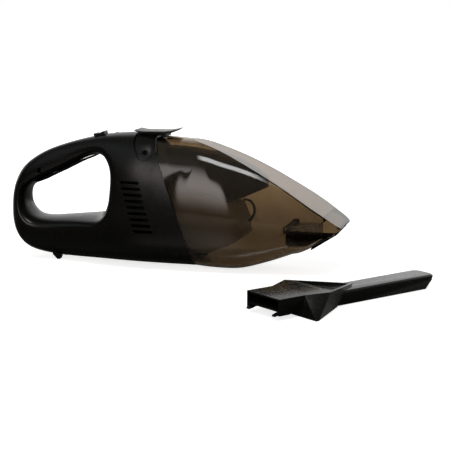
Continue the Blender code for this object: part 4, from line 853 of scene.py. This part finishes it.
CLOTH = cloth_material("filter_cloth", (0.30, 0.29, 0.26))
STEEL = metal("plated_steel", (0.55, 0.55, 0.56), 0.28)
DULL_RUBBER = plastic("dull_rubber", (0.004, 0.004, 0.0036), 0.9, 0.0, 0.1)
SMOKE_NOSE = smoked("smoked_nose", 2)
# painted shade: a dark plastic laid on the bowl's clear edges at the seam and the mouth, so they
# show dark as in shade instead of glowing
PAINTED_SHADE_EDGE = plastic("painted_shade_edge", (0.006, 0.005, 0.004), 0.6, 0.2, 0.1)
DARK_STEEL = metal("blackened_steel", (0.012, 0.012, 0.013), 0.4)
BRUSHED = metal("drawn_steel", (0.50, 0.50, 0.51), 0.34, (0.1, 1.0, 1.0))
COPPER = metal("copper_winding", (0.72, 0.34, 0.17), 0.32, (0.05, 1.0, 1.0))
BOARD = board_material("board_green")

KEPT_NODES = {
    "case_screw": STEEL, "lever_pin": DARK_STEEL, "lever_spring": STEEL, "flap_pin": STEEL,
    "motor_can": BRUSHED, "motor_shaft": STEEL, "armature": COPPER, "motor_end_cap": WHITE,
    "impeller": WHITE, "indicator_lens": LENS_RED, "charge_socket": BLACK, "switch_body": BLACK,
    "motor_bulkhead": BLACK, "bulkhead_seal": RUBBER, "motor_cradle": BLACK, "fan_shroud": BLACK,
    "battery_cell_1": CELL, "battery_cell_2": CELL, "battery_cell_3": CELL, "battery_cell_4": CELL,
    "battery_holder": BLACK, "charge_board": BOARD, "wire_positive": RED, "wire_negative": BLACK,
    "filter_cage": FILTER, "filter_flange": FILTER, "filter_seal": RUBBER, "filter_loop": FILTER,
    "inlet_flap": RUBBER,
}


# ------------------------------ pieces

def stadium(x, z, length, height, steps=6):
    """Outline of a slot with round ends."""
    radius = height / 2
    points = []
    for side in (1, -1):
        for i in range(steps + 1):
            angle = math.radians(-90 + 180 * i / steps)
            points.append((x + side * (length / 2 - radius + radius * math.cos(angle)),
                           z + side * radius * math.sin(angle)))
    return points


def build_casing_half(side):
    name = "near" if side < 0 else "far"
    obj = make_object("casing_shell_" + name, casing_shell(side))
    low, high = sorted(side * reach for reach in VENT_DEPTH)
    slots = [prism_bm(stadium(VENT_FIRST[0] + i * VENT_STEP[0], VENT_FIRST[1] + i * VENT_STEP[1],
                              *VENT_SIZE), low, high) for i in range(VENT_COUNT)]
    boolean(obj, joined(*slots))
    boolean(obj, prism_bm(ear_outline(pocket=True), -THROUGH, THROUGH))
    x, z = CASE_SCREW
    if side < 0:
        boolean(obj, rod_bm((x, SCREW_RECESS[0], z), (x, SCREW_RECESS[1], z), SCREW_RECESS_RADIUS))
    lens_x, lens_z = LENS
    boolean(obj, joined(
        sloped(box_bm((SLOT_SPAN[0], -SLOT_HALF_WIDTH, -SLOT_DEPTH),
                      (SLOT_SPAN[1], SLOT_HALF_WIDTH, SLOT_DEPTH))),
        rod_bm((lens_x, 0, lens_z + LENS_BORE[0]), (lens_x, 0, lens_z + LENS_BORE[1]),
               LENS_RADIUS + GAP),
        box_bm((HINGE[0] - HINGE_NOTCH[0], -HINGE_NOTCH_HALF, HINGE_NOTCH_Z[0]),
               (HINGE[0] + HINGE_NOTCH[1], HINGE_NOTCH_HALF, HINGE_NOTCH_Z[1])),
        rod_bm((REAR_X + SOCKET_BORE[0], 0, SOCKET_Z), (REAR_X + SOCKET_BORE[1], 0, SOCKET_Z),
               SOCKET_RADIUS)))
    dress(obj, SHELL, "housing", ["casing_" + name], CASING_SMOOTH)


def build_lever():
    px, pz = LEVER_PIVOT
    recess, radius = PIVOT_RECESS
    obj = make_object("lever_saddle", saddle_bm())
    boolean(obj, prism_bm(ear_outline(), -THROUGH, THROUGH), "INTERSECT")
    boolean(obj, joined(rod_bm((px, -THROUGH, pz), (px, -recess, pz), radius),
                        rod_bm((px, recess, pz), (px, THROUGH, pz), radius)))
    boolean(obj, rod_bm((px, -THROUGH, pz), (px, THROUGH, pz), PIN_RADIUS + GAP, segments=24))
    dress(obj, SHELL, "lever", [])
    plate = make_object("lever_plate", prism_bm(LEVER_PLATE, -LEVER_HALF_WIDTH, LEVER_HALF_WIDTH))
    boolean(plate, box_bm(*LEVER_WEB), "UNION")
    boolean(plate, prism_bm(LEVER_HOOK, -HOOK_HALF_WIDTH, HOOK_HALF_WIDTH), "UNION")
    round_edges(plate, 0.45, 3)
    dress(plate, TRIM, "lever", ["release_lever"])


def mouth_axes():
    """Low corner of the mouth, the direction up its slant, the one out of it, and its length."""
    slant = Vector((NOSE_TIP[0] - MOUTH_LOW[0], 0, NOSE_TIP[1] - MOUTH_LOW[1]))
    length = slant.length
    slant.normalize()
    return Vector((MOUTH_LOW[0], 0, MOUTH_LOW[1])), slant, Vector((slant.z, 0, -slant.x)), length


def shade_edges_and_tint_bowl_faces(bowl):
    """Painted shade on the edges at the seam and round the mouth, and a deeper tint where the nose
    is solid.
    """
    corner, _, out, _ = mouth_axes()
    bowl.data.materials.append(PAINTED_SHADE_EDGE)
    bowl.data.materials.append(SMOKE_NOSE)
    for polygon in bowl.data.polygons:
        centre = bowl.matrix_world @ polygon.center / MM + Vector(ORIGIN)
        from_mouth = (centre - corner).dot(out)
        at_seam = centre.x < seam_x(centre.z) + GAP + SEAM_BAND
        at_mouth = centre.x > MOUTH_LOW[0] and abs(from_mouth) < MOUTH_BAND
        # painted shade: edge faces at the seam and the mouth take the dark plastic
        if at_seam or at_mouth:
            polygon.material_index = 1
        elif centre.x > BOWL_END_X:
            polygon.material_index = 2


def build_bowl():
    hx, hz = HINGE
    obj = make_object("bowl_shell", bowl_shell_bm())
    half = DUCT_HALF_WIDTH + DUCT_WALL
    low, high = DUCT_LOW - DUCT_WALL - GAP, DUCT_HIGH + DUCT_WALL + GAP
    inner, outer = MOUTH_CUT_X
    boolean(obj, prism_bm([(inner, low), (outer, low), (outer, high), (inner, high)],
                          -half - GAP, half + GAP))
    boolean(obj, box_bm(*LEVER_NOTCH))
    wide = HINGE_HALF_WIDTH
    reach, under, over = HINGE_LEAF
    boolean(obj, rod_bm((hx, -wide, hz), (hx, wide, hz), HINGE_RADIUS), "UNION")
    boolean(obj, box_bm((hx, -wide, hz + under), (hx + reach, wide, hz + over)), "UNION")
    dress(obj, SMOKE, "bowl", ["dust_bowl"], BOWL_SMOOTH)
    shade_edges_and_tint_bowl_faces(obj)


def build_mouth_lip():
    """Soft lip each side of the mouth, from the gasket up into the bowl's rounded edge."""
    corner, slant, out, length = mouth_axes()
    for name, side in (("mouth_lip_near", -1), ("mouth_lip_far", 1)):
        corners = []
        for along in (LIP_SPAN[0], length * LIP_SPAN[1]):
            for depth in LIP_DEPTH:
                for y in (RIM_HALF_WIDTH - LIP_WIDTH, RIM_HALF_WIDTH - LIP_INSET):
                    across = corner + Vector((0, side * y, 0))
                    corners.append(across + slant * along + out * depth)
        lip = make_object(name, hull_bm(corners))
        round_edges(lip, 0.4, 3)
        dress(lip, DULL_RUBBER, "bowl", [])


# CAD node, its visual piece, rounding in mm, material, body, slot, segments of the rounding
SMALL_PIECES = [
    ("inlet_duct", "duct_sleeve", 0.35, DUCT, "bowl", "duct", 2),
    ("mouth_rim", "mouth_gasket", 0.5, DULL_RUBBER, "bowl", "rubber", 3),
    ("switch_slider", "switch_knob", 0.4, TRIM, "slider", "trim", 3),
    ("grip_insert", "grip_pad", 0.7, RUBBER, "housing", "rubber", 3),
    ("rear_foot_near", "foot_near", 0.5, RUBBER, "housing", "rubber", 3),
    ("rear_foot_far", "foot_far", 0.5, RUBBER, "housing", "rubber", 3),
    ("crevice_nozzle", "nozzle_body", 0.8, NOZZLE, "nozzle", "trim", 3),
    ("filter_cloth", "filter_sock", 0.8, CLOTH, "filter", "cloth", 3),
    ("filter_hood", "filter_beak", 1.2, FILTER, "filter", "filter", 3),
]


def build_small_pieces():
    for piece in SMALL_PIECES:
        softened(*piece)


def finish_kept_nodes():
    for node, material in KEPT_NODES.items():
        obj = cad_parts[node]
        obj.data.materials.clear()
        obj.data.materials.append(material)


# ------------------------------ studio and camera

FLOOR_SIZE = 12.0
FLOOR_GLOW = 0.80             # beside the object, rising to full white further off
FLOOR_NEAR = 0.25             # metres from the object where that rise starts and ends
FLOOR_FAR = 0.75
FLOOR_THROUGH = 0.1           # glow beside the object as seen through the bowl
FLOOR_TINT = (1.0, 0.97, 0.90, 1.0)
FLOOR_MIRROR = (0.14, 0.14, 0.135, 1.0)
FLOOR_GLOSS = (0.022, 0.10)   # glow in reflections, beside the object and far off
GLOSS_RANGE = (0.15, 0.9)     # distances for beside and far off, in metres
WORLD_FRONT = 0.02            # light from the front, the back and above
WORLD_BACK = 1.0
WORLD_TOP = 0.08
BACK_RANGE = (0.42, 0.72)     # where front turns to back, as a cosine against straight back
TOP_RANGE = (0.35, 0.95)      # where the light from above comes in, as a cosine against up
PATCH_RANGE = (0.05, 0.2)     # a softbox is blanked out below this, so that it has no twin behind
# azimuth, elevation and half-size in degrees, softness of the edges, strength, colour
SOFT_BOXES = [
    (8.0, 70.0, (9.0, 4.6), (0.45, 0.45), 13.0, (1.0, 1.0, 1.0)),
    (-12.0, 27.0, (4.5, 15.0), (0.10, 0.9), 4.8, (1.0, 0.90, 0.86)),
    (-23.4, 34.0, (3.6, 11.0), (0.10, 0.5), 3.4, (1.0, 0.92, 0.90)),
    (-57.0, 48.0, (22.0, 14.0), (0.6, 0.6), 0.30, (0.86, 0.97, 1.0)),
]
CAMERA_LENS = 108.3           # mm, on a sensor 36 mm wide
CAMERA_TARGET = (49.0, 0.0, 42.75)
CAMERA_VIEW = (15.0, 10.4)    # azimuth and elevation, degrees
CAMERA_DISTANCE = 1.4         # metres


def row(x, y, z):
    """A point in drawing axes, in the row frame's metres."""
    return (Vector((x, y, z)) - Vector(ORIGIN)) * MM


def aim(obj, place, target):
    obj.location = place
    obj.rotation_euler = (target - place).to_track_quat("-Z", "Y").to_euler()


def direction(azimuth, elevation):
    """Unit vector from the object: azimuth 0 is in front (-Y), positive to its right."""
    a, e = math.radians(azimuth), math.radians(elevation)
    return Vector((math.sin(a) * math.cos(e), -math.cos(a) * math.cos(e), math.sin(e)))


def looked_at(tree, path):
    """1 for what the camera sees, straight or through clear plastic, and 0 for light."""
    return math_node(tree, "MAXIMUM", path.outputs["Is Camera Ray"],
                     path.outputs["Is Transmission Ray"])


def build_floor():
    """Pale floor: white with faint shadows when looked at, its true shade through clear
    plastic, and dim in the object's gloss."""
    mesh = bpy.data.meshes.new("floor")
    bm = bmesh.new()
    bmesh.ops.create_grid(bm, x_segments=1, y_segments=1, size=FLOOR_SIZE)
    bm.to_mesh(mesh)
    bm.free()
    floor = add_object("floor", mesh)
    material, shader = shader_of("pale_floor")
    tree = material.node_tree
    nodes = tree.nodes
    shader.inputs["Base Color"].default_value = (0.86, 0.85, 0.83, 1.0)
    shader.inputs["Roughness"].default_value = 0.9
    shader.inputs["Specular IOR Level"].default_value = 0.0
    shader.inputs["Emission Color"].default_value = (1.0, 1.0, 1.0, 1.0)
    place = nodes.new("ShaderNodeTexCoord")
    distance = nodes.new("ShaderNodeVectorMath")
    distance.operation = "LENGTH"
    feed(distance, 0, place.outputs["Object"])
    path = nodes.new("ShaderNodeLightPath")
    looked = ranged(tree, distance.outputs["Value"], FLOOR_NEAR, FLOOR_FAR, FLOOR_GLOW, 1.0)
    through = ranged(tree, distance.outputs["Value"], FLOOR_NEAR, FLOOR_FAR, FLOOR_THROUGH, 1.0)
    straight = math_node(tree, "MULTIPLY", path.outputs["Is Camera Ray"], looked)
    refracted = math_node(tree, "MULTIPLY", path.outputs["Is Transmission Ray"], through)
    glow = math_node(tree, "ADD", straight, refracted)
    feed(shader, "Emission Strength", glow)
    seen = looked_at(tree, path)
    dim = nodes.new("ShaderNodeEmission")
    dim.inputs["Color"].default_value = FLOOR_TINT
    far = ranged(tree, distance.outputs["Value"], *GLOSS_RANGE, *FLOOR_GLOSS)
    feed(dim, "Strength", far)
    mirror = nodes.new("ShaderNodeBsdfGlossy")
    mirror.inputs["Color"].default_value = FLOOR_MIRROR
    mirror.inputs["Roughness"].default_value = 0.2
    both = nodes.new("ShaderNodeAddShader")
    feed(both, 0, dim.outputs["Emission"])
    feed(both, 1, mirror.outputs["BSDF"])
    mix = nodes.new("ShaderNodeMixShader")
    feed(mix, "Fac", seen)
    feed(mix, 1, both.outputs["Shader"])
    feed(mix, 2, shader.outputs["BSDF"])
    feed(nodes["Material Output"], "Surface", mix.outputs["Shader"])
    mesh.materials.append(material)


def math_node(tree, operation, first, second=None):
    node = tree.nodes.new("ShaderNodeMath")
    node.operation = operation
    for socket, value in zip(node.inputs, (first, second)):
        if value is not None:
            tree.links.new(value, socket)
    return node.outputs["Value"]


def dot(tree, vector, axis):
    node = tree.nodes.new("ShaderNodeVectorMath")
    node.operation = "DOT_PRODUCT"
    node.inputs[1].default_value = axis
    feed(node, 0, vector)
    return node.outputs["Value"]


def tinted(tree, value, colour):
    node = tree.nodes.new("ShaderNodeVectorMath")
    node.operation = "SCALE"
    node.inputs[0].default_value = colour
    feed(node, "Scale", value)
    return node.outputs["Vector"]


def soft_patch(tree, vector, azimuth, elevation, half_size, edges, strength, colour):
    """A softbox far off: a rectangle of light round a direction, with faded edges."""
    centre = direction(azimuth, elevation)
    right = Vector((0, 0, 1)).cross(centre).normalized()
    up = centre.cross(right)
    ahead = dot(tree, vector, centre)
    value = ranged(tree, ahead, *PATCH_RANGE, 0.0, strength)
    for axis, half, edge in zip((right, up), half_size, edges):
        reach = math.tan(math.radians(half))
        share = math_node(tree, "DIVIDE", dot(tree, vector, axis), ahead)
        share = math_node(tree, "ABSOLUTE", share)
        mask = ranged(tree, share, reach * (1 - edge), reach * (1 + edge), 1.0, 0.0)
        value = math_node(tree, "MULTIPLY", value, mask)
    return tinted(tree, value, colour)


def build_world():
    """White backdrop to look at; as light, white behind, dim in front, and a few softboxes."""
    world = bpy.data.worlds.new("studio")
    bpy.context.scene.world = world
    world.use_nodes = True
    tree = world.node_tree
    nodes = tree.nodes
    nodes.clear()
    vector = nodes.new("ShaderNodeTexCoord").outputs["Generated"]
    behind = ranged(tree, dot(tree, vector, (0, 1, 0)), *BACK_RANGE, WORLD_FRONT, WORLD_BACK)
    above = ranged(tree, dot(tree, vector, (0, 0, 1)), *TOP_RANGE, 0.0, WORLD_TOP)
    light = tinted(tree, math_node(tree, "ADD", behind, above), (1.0, 1.0, 1.0))
    for patch in SOFT_BOXES:
        total = nodes.new("ShaderNodeVectorMath")
        total.operation = "ADD"
        feed(total, 0, light)
        feed(total, 1, soft_patch(tree, vector, *patch))
        light = total.outputs["Vector"]
    out = nodes.new("ShaderNodeOutputWorld")
    mix = nodes.new("ShaderNodeMixShader")
    path = nodes.new("ShaderNodeLightPath")
    seen = nodes.new("ShaderNodeBackground")
    seen.inputs["Color"].default_value = (1.0, 1.0, 1.0, 1.0)
    lit = nodes.new("ShaderNodeBackground")
    feed(lit, "Color", light)
    feed(mix, "Fac", looked_at(tree, path))
    feed(mix, 1, lit.outputs["Background"])
    feed(mix, 2, seen.outputs["Background"])
    feed(out, "Surface", mix.outputs["Shader"])


def build_camera():
    data = bpy.data.cameras.new("camera")
    data.lens = CAMERA_LENS
    data.sensor_width = 36.0
    camera = add_object("camera", data)
    target = row(*CAMERA_TARGET)
    aim(camera, target + direction(*CAMERA_VIEW) * CAMERA_DISTANCE, target)
    bpy.context.scene.camera = camera


bpy.context.scene.view_settings.view_transform = "Standard"
build_camera()
build_world()
build_floor()

build_casing_half(-1)
build_casing_half(1)
build_lever()
build_bowl()
build_mouth_lip()
build_small_pieces()
finish_kept_nodes()
